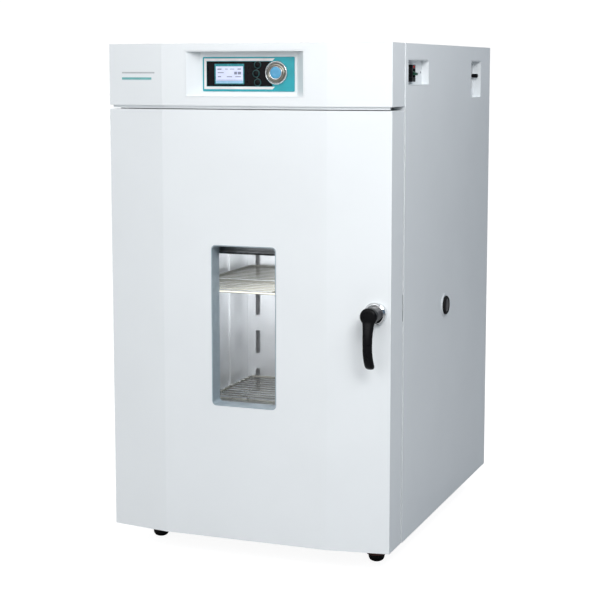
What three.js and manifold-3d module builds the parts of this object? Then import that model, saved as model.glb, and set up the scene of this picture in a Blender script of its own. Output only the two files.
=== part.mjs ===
// Floor-standing laboratory incubator: an insulated steel cabinet with a hinged, glazed front
// door, two wire shelves, a fan-stirred chamber and a recessed control panel above the door.
// Millimetres, +Z up, front towards -Y. The origin is on the floor under the middle of the
// bounding box. Everything is drawn in the cabinet's own frame, where y = 0 is the door's side
// edges and z = 0 is the underside of the door, and one group moves that frame into place.

import * as THREE from "three";
import { mergeVertices } from "three/addons/utils/BufferGeometryUtils.js";
import Module from "manifold-3d";

const wasm = await Module();
wasm.setup();

// ---------------------------------------------------------------------------------------------
// Driving dimensions
// ---------------------------------------------------------------------------------------------

// Cabinet
const halfWidth = 325; // of the door and the fascia
const shellHalfWidth = 326.5; // the wrapped shell stands a little proud of the door
const height = 1078; // underside of the door to the top cover
const depth = 819; // door's side edges to the back panel
const footHeight = 52;
const bulge = 20.4; // the centre facet stands this far ahead of the side edges
const facetHalf = 189; // half width of the centre facet
const leverReach = 67; // the lever stands this far ahead of the side edges
const clearance = 0.3; // between pieces that touch
const sheet = 2; // painted steel
const thinSheet = 1.5; // stainless steel

// Front section
const doorHeight = 938;
const doorGap = 8; // between the door and the fascia
const doorBack = 82; // y of the door's rear plane
const cabinetFront = 87; // y of the cabinet's front plane
const fasciaBottom = doorHeight + doorGap;

// Chamber
const chamberHalf = 250;
const chamberFloor = 125;
const chamberCeiling = 825;
const ductFace = 600; // y of the duct panel at the back of the chamber
const chamberBack = 640;
const linerFlange = 35; // width of the liner's front flange
const insulationThickness = 50;

// Window
const windowHalf = 73;
const windowSpan = [298.5, 646];
const windowCorner = 8;
const glassThickness = 4;
const outerGlass = 18; // y of the outer pane's front face
const innerGlass = 60; // y of the inner pane's front face
const paneOverlap = 39; // the panes and their pocket reach this far beyond the window's opening
const paneCorner = 14;
const linerOpening = { x: [-106, 106], z: [265, 624] }; // the window's opening in the door liner
const frameWall = 2;

// Control recess
const recessX = [-133, 139];
const recessSpan = [965, 1063];
const recessDepth = 26;
const recessFlank = 24; // width of the recess's slanted ends
const recessFace = -bulge + recessDepth; // y of the recess's floor

// Controls
const overlayX = [-102.5, 108.5];
const overlaySpan = [976.5, 1049.5];
const overlayThickness = 1.2;
const screen = { x: [-74.5, -6.5], z: [992, 1034.7] };
const keyRadius = 8;
const keys = [
  { name: "key_upper", x: 25, z: 1032.8 },
  { name: "key_middle", x: 21.5, z: 1014.3 },
  { name: "key_lower", x: 25, z: 995.8 },
];
const dial = { x: 68, z: 1016, bezelRadius: 25, ringRadius: 20.5, buttonRadius: 15 };

// Side fittings
const switchPocketBox = { y: [104, 261], z: [989, 1044.5], deep: 16 };
const switchBox = { y: [152, 178], z: [996.5, 1033.5], proud: 10 };
const damperPocketBox = { y: [628, 725], z: [954, 1045], deep: 20 };
const damperSlot = { y: 710, width: 7, z: [976, 1039] };
const damperKnobZ = 1008;
const inlet = { x: [150, 198], z: [60, 92] };
const port = { y: 408, z: 478, boreRadius: 20, sleeveRadius: 23, flangeRadius: 27 };

// Door fittings
const hingePivot = { x: -305, y: 25 };
const hingePinRadius = 5;
const handle = { x: 293.5, z: 517, roseRadius: 24, hubRadius: 16, headRadius: 18.5, armWidth: 21 };
const spindleRadius = 5;
const camThickness = 2.2;

// Air circulation
const fanAxis = { x: 0, z: 475 };
const shaftRadius = 5;
const probe = { x: 170, z: 770, radius: 3 };

// Shelves
const shelfHalf = 236;
const shelfSpan = [138, 590]; // y
const shelfRod = 6;
const shelfWire = 3;
const shelfSpaces = 18; // between neighbouring cross wires
const shelfCrossbar = 7; // the place of the middle crosswise rod, counted in those spaces
const shelfLevels = [
  { name: "shelf_lower", z: 236 },
  { name: "shelf_upper", z: 524 },
];

// Feet
const footPlaces = [
  { name: "front_left", x: -263, y: 105 },
  { name: "front_right", x: 263, y: 105 },
  { name: "rear_left", x: -263, y: 760 },
  { name: "rear_right", x: 263, y: 760 },
];

// ---------------------------------------------------------------------------------------------
// Materials
// ---------------------------------------------------------------------------------------------

const finish = (color, roughness, metalness = 0) =>
  new THREE.MeshStandardMaterial({ color, roughness, metalness });

const whitePaint = finish(0xe9eef0, 0.4);
const palePaint = finish(0xd3d9dc, 0.5);
const stainless = finish(0xb9bec1, 0.3, 1);
const satinSteel = finish(0x9aa0a4, 0.4, 1);
const blueSteel = finish(0x7f929c, 0.45, 0.6);
const chromed = finish(0xd8dadc, 0.15, 1);
const brightWire = finish(0xa9aaa6, 0.25, 1);
const blackPlastic = finish(0x141517, 0.35);
const darkRubber = finish(0x1b1b1c, 0.8);
const paleGasket = finish(0xb8bcbd, 0.75);
const glassWool = finish(0xd9cf9a, 0.95);
const clearGlass = finish(0xdfe8ea, 0.05);
const tealLabel = finish(0x1f9aa8, 0.4);
const screenPlastic = finish(0xa7b4d6, 0.3);
const bluePlastic = finish(0x5b8fc2, 0.3);
const brassBush = finish(0xb59a55, 0.4, 1);
const circuitGreen = finish(0x2c6a4b, 0.6);
const aluminium = finish(0xb0b3b5, 0.4, 1);
const redBrownZinc = finish(0x5a3a35, 0.5, 0.4);

// ---------------------------------------------------------------------------------------------
// Solids
// ---------------------------------------------------------------------------------------------

const weldTolerance = 1e-4;
const roundSides = 24;
const smallSides = 12;
const cornerSegments = 3;

/** Closed mesh with shared vertices merged, as a solid that can be joined and cut. */
function solidOf(geometry) {
  const bare = new THREE.BufferGeometry();
  bare.setAttribute("position", geometry.getAttribute("position"));
  bare.setIndex(geometry.index);
  const merged = mergeVertices(bare, weldTolerance);
  const corners = merged.index.array;
  const kept = [];
  for (let i = 0; i < corners.length; i += 3) {
    const [a, b, c] = corners.slice(i, i + 3);
    if (a !== b && b !== c && c !== a) {
      kept.push(a, b, c);
    }
  }
  const mesh = new wasm.Mesh({
    numProp: 3,
    vertProperties: new Float32Array(merged.getAttribute("position").array),
    triVerts: new Uint32Array(kept),
  });
  return new wasm.Manifold(mesh);
}

/** Geometry of a finished solid. */
function geometryOf(solid) {
  const mesh = solid.getMesh();
  const geometry = new THREE.BufferGeometry();
  geometry.setAttribute("position", new THREE.BufferAttribute(mesh.vertProperties, 3));
  geometry.setIndex(new THREE.BufferAttribute(mesh.triVerts, 1));
  geometry.computeVertexNormals();
  return geometry;
}

const join = (...solids) => solids.reduce((whole, next) => whole.add(next));
const cut = (base, ...tools) => tools.reduce((rest, tool) => rest.subtract(tool), base);
const grow = ([from, to], by) => [from - by, to + by];
const middle = ([from, to]) => (from + to) / 2;
const both = (half) => [-half, half];
const around = (centre, half) => [centre - half, centre + half];

/** Box between two limits on each axis. */
function block([x0, x1], [y0, y1], [z0, z1]) {
  const geometry = new THREE.BoxGeometry(x1 - x0, y1 - y0, z1 - z0);
  geometry.translate(middle([x0, x1]), middle([y0, y1]), middle([z0, z1]));
  return solidOf(geometry);
}

/** Turns a shape made about +Y so that it lies on the named axis through (u, v). */
function ontoAxis(geometry, axis, [u, v]) {
  if (axis === "x") {
    return geometry.rotateZ(-Math.PI / 2).translate(0, u, v);
  }
  if (axis === "y") {
    return geometry.translate(u, 0, v);
  }
  return geometry.rotateX(Math.PI / 2).translate(u, v, 0);
}

/** Round bar along an axis. The centre gives the two other coordinates in X, Y, Z order. */
function rod(axis, centre, radius, span, sides = roundSides) {
  const geometry = new THREE.CylinderGeometry(radius, radius, span[1] - span[0], sides);
  geometry.translate(0, middle(span), 0);
  return solidOf(ontoAxis(geometry, axis, centre));
}

/** Turned piece. The profile lists [radius, place on the axis], outer side ascending. */
function turned(axis, centre, profile, sides = roundSides) {
  const points = profile.map(([radius, along]) => new THREE.Vector2(radius, along));
  return solidOf(ontoAxis(new THREE.LatheGeometry(points, sides), axis, centre));
}

/** Ring-shaped turned piece between two radii. */
function ring(axis, centre, [inner, outer], [from, to], sides = roundSides) {
  const profile = [[inner, from], [outer, from], [outer, to], [inner, to], [inner, from]];
  return turned(axis, centre, profile, sides);
}

function polygon(points) {
  return new THREE.Shape(points.map(([u, v]) => new THREE.Vector2(u, v)));
}

function roundedRectangle([u0, u1], [v0, v1], radius) {
  const shape = new THREE.Shape();
  shape.absarc(u1 - radius, v0 + radius, radius, -Math.PI / 2, 0);
  shape.absarc(u1 - radius, v1 - radius, radius, 0, Math.PI / 2);
  shape.absarc(u0 + radius, v1 - radius, radius, Math.PI / 2, Math.PI);
  shape.absarc(u0 + radius, v0 + radius, radius, Math.PI, 1.5 * Math.PI);
  return shape;
}

/** Straight extrusion. The shape lies across the axis, its own x and y in X, Y, Z order. */
function prism(axis, shape, [from, to], curveSegments = cornerSegments) {
  const geometry = new THREE.ExtrudeGeometry(shape, {
    depth: to - from,
    bevelEnabled: false,
    curveSegments,
  });
  const turn = new THREE.Matrix4();
  if (axis === "x") {
    turn.set(0, 0, 1, from, 1, 0, 0, 0, 0, 1, 0, 0, 0, 0, 0, 1);
  } else if (axis === "y") {
    turn.set(1, 0, 0, 0, 0, 0, -1, to, 0, 1, 0, 0, 0, 0, 0, 1);
  } else {
    turn.makeTranslation(0, 0, from);
  }
  return solidOf(geometry.applyMatrix4(turn));
}

// ---------------------------------------------------------------------------------------------
// Shared outlines
// ---------------------------------------------------------------------------------------------

/** Plan of the faceted front section, its walls moved in by inset, closed at rearY. */
function frontOutline(inset, rearY) {
  const slope = bulge / (halfWidth - facetHalf);
  const along = Math.hypot(1, slope);
  const sideX = halfWidth - inset;
  const sideY = inset * (along - slope);
  const facetX = facetHalf - (inset * (along - 1)) / slope;
  const facetY = -bulge + inset;
  return polygon([
    [sideX, rearY],
    [-sideX, rearY],
    [-sideX, sideY],
    [-facetX, facetY],
    [facetX, facetY],
    [sideX, sideY],
  ]);
}

/** Place on the slanted right-hand facet, as y for a given x. */
function facetY(x) {
  return (-bulge * (halfWidth - x)) / (halfWidth - facetHalf);
}

function windowOutline(outward) {
  return roundedRectangle(
    both(windowHalf + outward),
    grow(windowSpan, outward),
    windowCorner + outward,
  );
}

/** Outline of the pocket that holds the panes, moved inwards by inset. */
function paneOutline(inset) {
  const reach = paneOverlap - inset;
  return roundedRectangle(both(windowHalf + reach), grow(windowSpan, reach), paneCorner - inset);
}

/** Outline of the window's opening in the door liner, moved outwards. */
function linerOutline(outward) {
  const { x, z } = linerOpening;
  return roundedRectangle(grow(x, outward), grow(z, outward), paneCorner + outward);
}

// ---------------------------------------------------------------------------------------------
// Cabinet casing
// ---------------------------------------------------------------------------------------------

const shellFold = 24; // width of the shell's inward folds
const shellSpan = [cabinetFront, depth - sheet - clearance]; // y
const shellInner = shellHalfWidth - sheet;

/** Sides and top in one wrapped sheet, folded inwards at the front and the rear. */
function outerShell() {
  const wrap = cut(
    block(both(shellHalfWidth), shellSpan, [0, height]),
    block(both(shellInner), grow(shellSpan, -sheet), [-1, height - sheet]),
    block(both(shellInner - shellFold), grow(shellSpan, 1), [-1, height - sheet - shellFold]),
  );
  const wall = [shellHalfWidth - 3 * sheet, shellHalfWidth + 1];
  return cut(
    wrap,
    block(wall, switchPocketBox.y, switchPocketBox.z),
    block(wall, damperPocketBox.y, damperPocketBox.z),
    rod("x", [port.y, port.z], port.sleeveRadius + clearance, wall),
  );
}

/** Bolted rear cover with two rows of cooling louvres beside the fan motor. */
function backPanel() {
  const slotLength = 90;
  const slotHeight = 4;
  const slotPitch = 14;
  const slotCount = 6;
  let panel = block(both(shellHalfWidth - 8), [depth - sheet, depth], [8, height - 8]);
  for (const side of [-1, 1]) {
    const x = side * 150;
    for (let i = 0; i < slotCount; i += 1) {
      const z = 930 + i * slotPitch;
      const slot = block(around(x, slotLength / 2), [depth - 10, depth + 1], [z, z + slotHeight]);
      panel = panel.subtract(slot);
    }
  }
  return panel.subtract(block(grow(inlet.x, -7), [depth - 10, depth + 1], grow(inlet.z, -3)));
}

const basePanInner = [91.6, shellSpan[1] - sheet - clearance]; // y

/** Shallow floor tray that carries the feet and the chamber. */
function basePan() {
  const half = shellInner - clearance;
  const rim = 20;
  let pan = cut(
    block(both(half), basePanInner, [0, rim]),
    block(both(half - sheet), grow(basePanInner, -sheet), [sheet, rim + 1]),
  );
  for (const foot of footPlaces) {
    const hole = rod("z", [foot.x, foot.y], stemRadius + clearance, [-1, 2 * sheet], smallSides);
    pan = pan.subtract(hole);
  }
  return pan;
}

/** Plate that closes the front of the cabinet around the chamber's mouth. */
function frontFrame() {
  const back = cabinetFront + sheet + clearance;
  return cut(
    block(both(shellInner - clearance), [back, back + sheet], [0, height - sheet - clearance]),
    block(both(chamberHalf + 12), [back - 1, back + sheet + 1], [chamberFloor - 12, chamberCeiling + 12]),
  );
}

// ---------------------------------------------------------------------------------------------
// Chamber
// ---------------------------------------------------------------------------------------------

const linerFront = cabinetFront + clearance;
const motorFront = 700; // y of the motor's front face

/** Stainless box, open at the front, with a flange that the door's gasket meets. */
function chamberLiner() {
  const walls = block(
    both(chamberHalf + thinSheet),
    [linerFront, chamberBack + thinSheet],
    [chamberFloor - thinSheet, chamberCeiling + thinSheet],
  );
  const flange = block(
    both(chamberHalf + linerFlange),
    [linerFront, linerFront + thinSheet],
    [chamberFloor - linerFlange, chamberCeiling + linerFlange],
  );
  const cavity = block(both(chamberHalf), [linerFront - 1, chamberBack], [chamberFloor, chamberCeiling]);
  const back = [chamberBack - 1, chamberBack + thinSheet + 1];
  return cut(
    join(walls, flange),
    cavity,
    rod("y", [fanAxis.x, fanAxis.z], shaftRadius + 2, back, smallSides),
    rod("x", [port.y, port.z], port.sleeveRadius + clearance, [chamberHalf - 1, chamberHalf + 5]),
  );
}

/** Mineral-wool jacket round the chamber. */
function insulationJacket() {
  const inner = thinSheet + clearance;
  const front = cabinetFront + 2 * sheet + 2 * clearance;
  const outer = inner + insulationThickness;
  const back = chamberBack + outer;
  return cut(
    block(both(chamberHalf + outer), [front, back], [chamberFloor - outer, chamberCeiling + outer]),
    block(
      both(chamberHalf + inner),
      [front - 1, chamberBack + inner],
      [chamberFloor - inner, chamberCeiling + inner],
    ),
    rod("y", [fanAxis.x, fanAxis.z], shaftRadius + 4, [chamberBack, back + 1], smallSides),
    rod("x", [port.y, port.z], port.sleeveRadius + clearance, [chamberHalf, chamberHalf + outer + 1]),
  );
}

/** Panel in front of the fan: air goes in through the middle and out along the sides. */
function ductPanel() {
  const half = chamberHalf - clearance;
  const through = [ductFace - 1, ductFace + thinSheet + 1];
  let panel = block(
    both(half),
    [ductFace, ductFace + thinSheet],
    [chamberFloor + clearance, chamberCeiling - clearance],
  );
  const intakeWidths = [60, 96, 104, 96, 60];
  const intakePitch = 20;
  intakeWidths.forEach((width, i) => {
    const z = fanAxis.z + (i - (intakeWidths.length - 1) / 2) * intakePitch;
    panel = panel.subtract(block(both(width / 2), through, around(z, 3)));
  });
  const outletCount = 6;
  const outletPitch = 100;
  for (const side of [-1, 1]) {
    for (let i = 0; i < outletCount; i += 1) {
      const z = fanAxis.z + (i - (outletCount - 1) / 2) * outletPitch;
      const x = side * 222;
      panel = panel.subtract(block(around(x, 6), through, around(z, 30)));
    }
  }
  return panel.subtract(rod("y", [probe.x, probe.z], probe.radius + clearance, through, smallSides));
}

/** Radial wheel and its shaft, which reaches back into the motor. */
function fanImpeller() {
  const centre = [fanAxis.x, fanAxis.z];
  const wheelRadius = 60;
  const bladeCount = 8;
  const parts = [
    rod("y", centre, wheelRadius, [624, 626]),
    rod("y", centre, 14, [608, 626], smallSides),
    rod("y", centre, shaftRadius, [606, motorFront + 20], smallSides),
  ];
  for (let i = 0; i < bladeCount; i += 1) {
    const blade = new THREE.BoxGeometry(34, 18, 2);
    blade.translate(40, 616, 0);
    blade.rotateY((i * 2 * Math.PI) / bladeCount);
    blade.translate(fanAxis.x, 0, fanAxis.z);
    parts.push(solidOf(blade));
  }
  return join(...parts);
}

/** Motor on the back of the insulation, bored for the impeller's shaft. */
function fanMotor() {
  const centre = [fanAxis.x, fanAxis.z];
  const plateFront = chamberBack + thinSheet + insulationThickness + 3 * clearance;
  return cut(
    join(
      rod("y", centre, 36, [motorFront - 1, motorFront + 62]),
      block(both(60), [plateFront, plateFront + sheet], [fanAxis.z - 45, fanAxis.z + 45]),
      block(both(30), [plateFront, motorFront + 40], [fanAxis.z - 45, fanAxis.z - 30]),
    ),
    rod("y", centre, shaftRadius + clearance, [plateFront - 1, motorFront + 24], smallSides),
  );
}

/** Sheathed element, an open loop round the impeller with two tails through the rear wall. */
function heaterCoil() {
  const radius = 92;
  const tube = 4;
  const opening = 0.25; // half of the gap in the loop, radians
  const section = new THREE.Shape();
  section.absarc(0, 0, tube, 0, 2 * Math.PI);
  const points = [];
  const steps = 24;
  for (let i = 0; i <= steps; i += 1) {
    const angle = -Math.PI / 2 + opening + (i / steps) * 2 * (Math.PI - opening);
    const x = fanAxis.x + radius * Math.cos(angle);
    const z = fanAxis.z + radius * Math.sin(angle);
    points.push(new THREE.Vector3(x, 617, z));
  }
  const loop = new THREE.ExtrudeGeometry(section, {
    steps: 28,
    curveSegments: 4,
    bevelEnabled: false,
    extrudePath: new THREE.CatmullRomCurve3(points),
  });
  return solidOf(loop);
}

/** Sheathed sensor that stands out of the duct panel near the chamber's upper right. */
function temperatureProbe() {
  return turned("y", [probe.x, probe.z], [
    [0, 530],
    [probe.radius, 533],
    [probe.radius, 594],
    [8, 594],
    [8, ductFace - clearance],
    [probe.radius, ductFace - clearance],
    [probe.radius, 630],
    [0, 630],
  ], smallSides);
}

/** Two posts on a side wall, with a runner under each shelf. */
function shelfRack(side) {
  const wall = chamberHalf - clearance;
  const x = (from, to) => [side * from, side * to].sort((a, b) => a - b);
  const runnerHeight = 5;
  const posts = [170, 478].map((y) =>
    block(x(wall, wall - 3), [y, y + 28], [chamberFloor + 20, chamberCeiling - 20]),
  );
  const runners = shelfLevels.map((shelf) => {
    const top = shelf.z - shelfRod / 2 - clearance;
    return block(x(wall - 1, wall - 22), [150, 588], [top - runnerHeight, top]);
  });
  return join(...posts, ...runners);
}

/** Wire shelf: a frame of thick rods, with thin wires across it from side to side. */
function wireShelf(level) {
  const rodZ = [level - shelfRod / 2, level + shelfRod / 2];
  const wireZ = [level + 1, level + 1 + shelfWire];
  const [front, rear] = grow(shelfSpan, -shelfRod / 2);
  const pitch = (rear - front) / shelfSpaces;
  const parts = [-shelfHalf + shelfRod / 2, 0, shelfHalf - shelfRod / 2].map((x) =>
    block(around(x, shelfRod / 2), shelfSpan, rodZ),
  );
  for (let i = 0; i <= shelfSpaces; i += 1) {
    const y = front + i * pitch;
    if ([0, shelfCrossbar, shelfSpaces].includes(i)) {
      parts.push(block(both(shelfHalf), around(y, shelfRod / 2), rodZ));
    } else {
      parts.push(block(both(shelfHalf - 2), around(y, shelfWire / 2), wireZ));
    }
  }
  return join(...parts);
}

// ---------------------------------------------------------------------------------------------
// Control head
// ---------------------------------------------------------------------------------------------

const recessOpening = [
  grow(recessX, clearance),
  [-bulge - 1, -bulge + sheet + 1],
  grow(recessSpan, clearance),
];

/** Faceted panel above the door, open at the rear, with a set-back lip that hides the gap. */
function fascia() {
  const rear = cabinetFront - clearance;
  const lipSetback = 6;
  const lipRear = 6.5; // y
  const lip = cut(
    prism("z", frontOutline(lipSetback, 30), [doorHeight + 2, fasciaBottom + sheet]),
    prism("z", frontOutline(lipSetback + sheet, 31), [doorHeight, fasciaBottom]),
    block(both(halfWidth), [lipRear, 32], [doorHeight, fasciaBottom]),
  );
  const panel = cut(
    prism("z", frontOutline(0, rear), [fasciaBottom, height]),
    prism("z", frontOutline(sheet, rear + 1), [fasciaBottom + sheet, height - sheet]),
    block(...recessOpening),
  );
  return join(panel, lip);
}

const controlHoles = () => [
  ...keys.map((key) => rod("y", [key.x, key.z], keyRadius + clearance, throughFace, smallSides)),
  rod("y", [dial.x, dial.z], dial.buttonRadius + clearance, throughFace),
  block(grow(screen.x, clearance), throughFace, grow(screen.z, clearance)),
];
const throughFace = [recessFace - 5, recessFace + 5];
const flankTaper = 0.4; // how far the inner wall of a slanted end moves in, per unit of inset

/** Recessed tray with slanted ends that carries the controls. */
function controlBezel() {
  const [left, right] = recessX;
  const tray = (inset, front) =>
    prism("z", polygon([
      [right - inset, front],
      [right - recessFlank - inset * flankTaper, recessFace + sheet - inset],
      [left + recessFlank + inset * flankTaper, recessFace + sheet - inset],
      [left + inset, front],
    ]), grow(recessSpan, -inset));
  return cut(tray(0, -bulge), tray(sheet, -bulge - 0.01), ...controlHoles());
}

/** Printed panel on the recess's floor. */
function controlOverlay() {
  const front = recessFace - clearance - overlayThickness;
  return cut(
    prism("y", roundedRectangle(overlayX, overlaySpan, 3), [front, recessFace - clearance]),
    ...controlHoles(),
    rod("y", [dial.x, dial.z], dial.bezelRadius + clearance, throughFace),
  );
}

/** Screen module, flush with the overlay in front and reaching to the board behind. */
function displayModule() {
  return block(screen.x, [recessFace - 1, recessFace + 12], screen.z);
}

/** Fixed ring round the jog dial. */
function dialRing() {
  const base = recessFace - clearance;
  return ring("y", [dial.x, dial.z], [dial.ringRadius + clearance, dial.bezelRadius], [base - 6, base]);
}

/** Rotating ring with finger scallops. */
function jogDial() {
  const centre = [dial.x, dial.z];
  const back = recessFace - 2 * clearance;
  let wheel = ring("y", centre, [dial.buttonRadius + clearance, dial.ringRadius], [back - 7, back]);
  const scallopCount = 8;
  for (let i = 0; i < scallopCount; i += 1) {
    const angle = (i * 2 * Math.PI) / scallopCount;
    const x = dial.x + dial.ringRadius * Math.cos(angle);
    const z = dial.z + dial.ringRadius * Math.sin(angle);
    wheel = wheel.subtract(rod("y", [x, z], 1.6, [back - 8, back - 5], 6));
  }
  return wheel;
}

/** Domed push button in the middle of the jog dial. */
function dialButton() {
  return turned("y", [dial.x, dial.z], [
    [0, recessFace - 9.5],
    [6, recessFace - 9.2],
    [11, recessFace - 8.2],
    [dial.buttonRadius, recessFace - 6],
    [dial.buttonRadius, recessFace + 10],
    [0, recessFace + 10],
  ], 24);
}

/** Round key with a slightly crowned top. */
function controlKey({ x, z }) {
  return turned("y", [x, z], [
    [0, recessFace - 4.2],
    [5, recessFace - 4],
    [keyRadius, recessFace - 3],
    [keyRadius, recessFace + 10],
    [0, recessFace + 10],
  ], smallSides);
}

/** Circuit board behind the controls, with its larger components. */
function controllerBoard() {
  const front = recessFace + 14;
  return join(
    block(both(104), [front, front + 1.6], [972, 1054]),
    block([-96, -52], [front + 1, front + 20], [976, 1012]),
    block([20, 44], [front + 1, front + 16], [1020, 1046]),
    block([60, 98], [front + 1, front + 12], [980, 992]),
  );
}

// ---------------------------------------------------------------------------------------------
// Side and rear fittings
// ---------------------------------------------------------------------------------------------

/** Tray let into the right-hand wall. */
function sidePocket(box) {
  const outerY = grow(box.y, -clearance);
  const outerZ = grow(box.z, -clearance);
  const floor = shellHalfWidth - box.deep;
  return cut(
    block([floor - thinSheet, shellHalfWidth], outerY, outerZ),
    block([floor, shellHalfWidth + 1], grow(outerY, -thinSheet), grow(outerZ, -thinSheet)),
  );
}

const switchFloor = shellHalfWidth - switchPocketBox.deep;

function switchPocket() {
  const hole = block([switchFloor - 5, switchFloor + 1], switchBox.y, switchBox.z);
  return cut(sidePocket(switchPocketBox), hole);
}

/** Breaker-style switch housing with a window for its toggle. */
function switchBody() {
  const inset = grow(switchBox.y, -clearance);
  const face = switchFloor + switchBox.proud;
  const [y0, y1] = switchBox.y;
  return cut(
    block([switchFloor - 30, face], inset, grow(switchBox.z, -clearance)),
    block([face - 8, face + 1], [y0 + 7, y1 - 4], grow(switchBox.z, -9)),
  );
}

const toggleAxis = { x: switchFloor + switchBox.proud - 3, z: middle(switchBox.z) };
const toggleTilt = 12; // degrees either side of straight out

/** Toggle paddle, stored tilted down to its off position. */
function powerToggle() {
  const y = [switchBox.y[0] + 9, switchBox.y[1] - 6];
  const paddle = solidOf(
    new THREE.BoxGeometry(13, y[1] - y[0], 7).translate(4, 0, 0),
  );
  const barrel = rod("y", [0, 0], 4.5, both((y[1] - y[0]) / 2), smallSides);
  return join(paddle, barrel);
}

const damperFloor = shellHalfWidth - damperPocketBox.deep;

function damperPocket() {
  const { y, width, z } = damperSlot;
  return cut(
    sidePocket(damperPocketBox),
    block([damperFloor - 5, damperFloor + 1], around(y, width / 2), z),
  );
}

/** Vent slider: a knob, a stem through the slot and the shutter plate behind it. */
function damperSlider() {
  const { y } = damperSlot;
  const back = damperFloor - thinSheet;
  return join(
    rod("x", [y, damperKnobZ], 5, [damperFloor + 1, damperFloor + 16], smallSides),
    rod("x", [y, damperKnobZ], 2.5, [back - 3, damperFloor + 2], smallSides),
    block([back - 4, back - 1], around(y, 14), around(damperKnobZ, 10)),
  );
}

/** Flanged tube from the chamber to the outside for probes and leads. */
function portSleeve() {
  const outside = shellHalfWidth + clearance;
  return turned("x", [port.y, port.z], [
    [port.boreRadius, chamberHalf - 1],
    [port.sleeveRadius, chamberHalf - 1],
    [port.sleeveRadius, outside],
    [port.flangeRadius, outside],
    [port.flangeRadius - 0.8, outside + 2.4],
    [port.boreRadius, outside + 2.4],
    [port.boreRadius, chamberHalf - 1],
  ]);
}

/** Tapered rubber bung with a grip rim. */
function portStopper() {
  const outside = shellHalfWidth + 3;
  return turned("x", [port.y, port.z], [
    [0, 288],
    [port.boreRadius - 2.5, 288],
    [port.boreRadius - clearance, outside],
    [port.boreRadius + 1.5, outside],
    [port.boreRadius + 1.5, outside + 4],
    [port.boreRadius - 1, outside + 6],
    [0, outside + 6],
  ]);
}

/** Flush mains inlet on the back panel. */
function powerInlet() {
  const { x, z } = inlet;
  return cut(
    join(
      block(x, [depth + clearance, depth + 3], z),
      block(grow(x, -8), [depth - 10 - sheet, depth + 1], grow(z, -4)),
    ),
    block(grow(x, -11), [depth - 10, depth + 4], grow(z, -7)),
  );
}

// ---------------------------------------------------------------------------------------------
// Feet
// ---------------------------------------------------------------------------------------------

const stemRadius = 6;
const padTop = -36;
const wheelTop = -27;

/** Round rubber foot with a domed underside cut off flat where it rests. */
function footPad({ x, y }) {
  return turned("z", [x, y], [
    [0, -footHeight],
    [9, -footHeight],
    [14, -footHeight + 2.5],
    [17, -footHeight + 7],
    [18, -footHeight + 12],
    [16.5, padTop],
    [0, padTop],
  ], smallSides + 4);
}

/** Threaded stem with the knurled wheel that levels the cabinet. */
function footAdjuster({ x, y }) {
  return turned("z", [x, y], [
    [0, padTop + clearance],
    [23, padTop + clearance],
    [23, wheelTop],
    [stemRadius, wheelTop],
    [stemRadius, 14],
    [0, 14],
  ], smallSides + 4);
}

// ---------------------------------------------------------------------------------------------
// Door
// ---------------------------------------------------------------------------------------------

const spindleHole = (span) => rod("y", [handle.x, handle.z], spindleRadius + 1, span, smallSides);
const bushRadius = 8;
const bushHoles = () =>
  rod("z", [hingePivot.x, hingePivot.y], bushRadius + clearance, [-1, doorHeight + 1], smallSides);

/** Painted outer tray of the door. */
function doorSkin() {
  return cut(
    prism("z", frontOutline(0, doorBack), [0, doorHeight]),
    prism("z", frontOutline(sheet, doorBack + 1), [sheet, doorHeight - sheet]),
    prism("y", windowOutline(frameWall + clearance), [-bulge - 1, 0]),
    spindleHole([-bulge, sheet + 2]),
    bushHoles(),
  );
}

/** Mineral-wool batt in the rear half of the door. */
function doorInsulation() {
  const front = 40;
  const half = halfWidth - sheet - clearance;
  return cut(
    block(both(half), [front, doorBack - 3], [sheet + clearance, doorHeight - sheet - clearance]),
    prism("y", paneOutline(-frameWall - clearance), [front - 1, doorBack]),
    spindleHole([front - 1, doorBack]),
  );
}

/** Stainless inner face of the door, with a collar that holds the inner pane. */
function doorLiner() {
  const half = halfWidth - sheet - clearance;
  const rear = doorBack - 0.5;
  const edge = sheet + clearance;
  const plate = block(both(half), [rear - thinSheet, rear], [edge, doorHeight - edge]);
  const collar = prism("y", linerOutline(frameWall), [innerGlass + glassThickness + clearance, rear]);
  return cut(
    join(plate, collar),
    prism("y", linerOutline(0), [innerGlass, doorBack]),
    spindleHole([rear - 3, doorBack]),
  );
}

/** Soft seal on the door's inner face. */
function doorGasket() {
  const section = 12;
  const inset = 14; // outside the chamber's mouth
  const outer = roundedRectangle(
    both(chamberHalf + inset + section),
    [chamberFloor - inset - section, chamberCeiling + inset + section],
    20,
  );
  const inner = roundedRectangle(
    both(chamberHalf + inset),
    [chamberFloor - inset, chamberCeiling + inset],
    20 - section,
  );
  const span = [doorBack - 0.5 + clearance, cabinetFront - clearance];
  return cut(prism("y", outer, span), prism("y", inner, grow(span, 1)));
}

/** Reveal of the window, much wider behind the outer pane's seat. */
function windowFrame() {
  const seat = outerGlass - clearance;
  const rear = innerGlass + glassThickness;
  return cut(
    join(
      prism("y", windowOutline(frameWall), [-bulge, seat]),
      prism("y", paneOutline(-frameWall), [seat - frameWall, rear]),
    ),
    prism("y", windowOutline(0), [-bulge - 1, rear]),
    prism("y", paneOutline(0), [seat, rear + 1]),
  );
}

function windowGlass(front) {
  return prism("y", paneOutline(clearance), [front, front + glassThickness]);
}

/** Hollow bar that keeps the two panes apart. */
function windowSpacer() {
  const span = [outerGlass + glassThickness + clearance, innerGlass - clearance];
  return cut(
    prism("y", paneOutline(clearance), span),
    prism("y", paneOutline(4), grow(span, 1)),
  );
}

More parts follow.
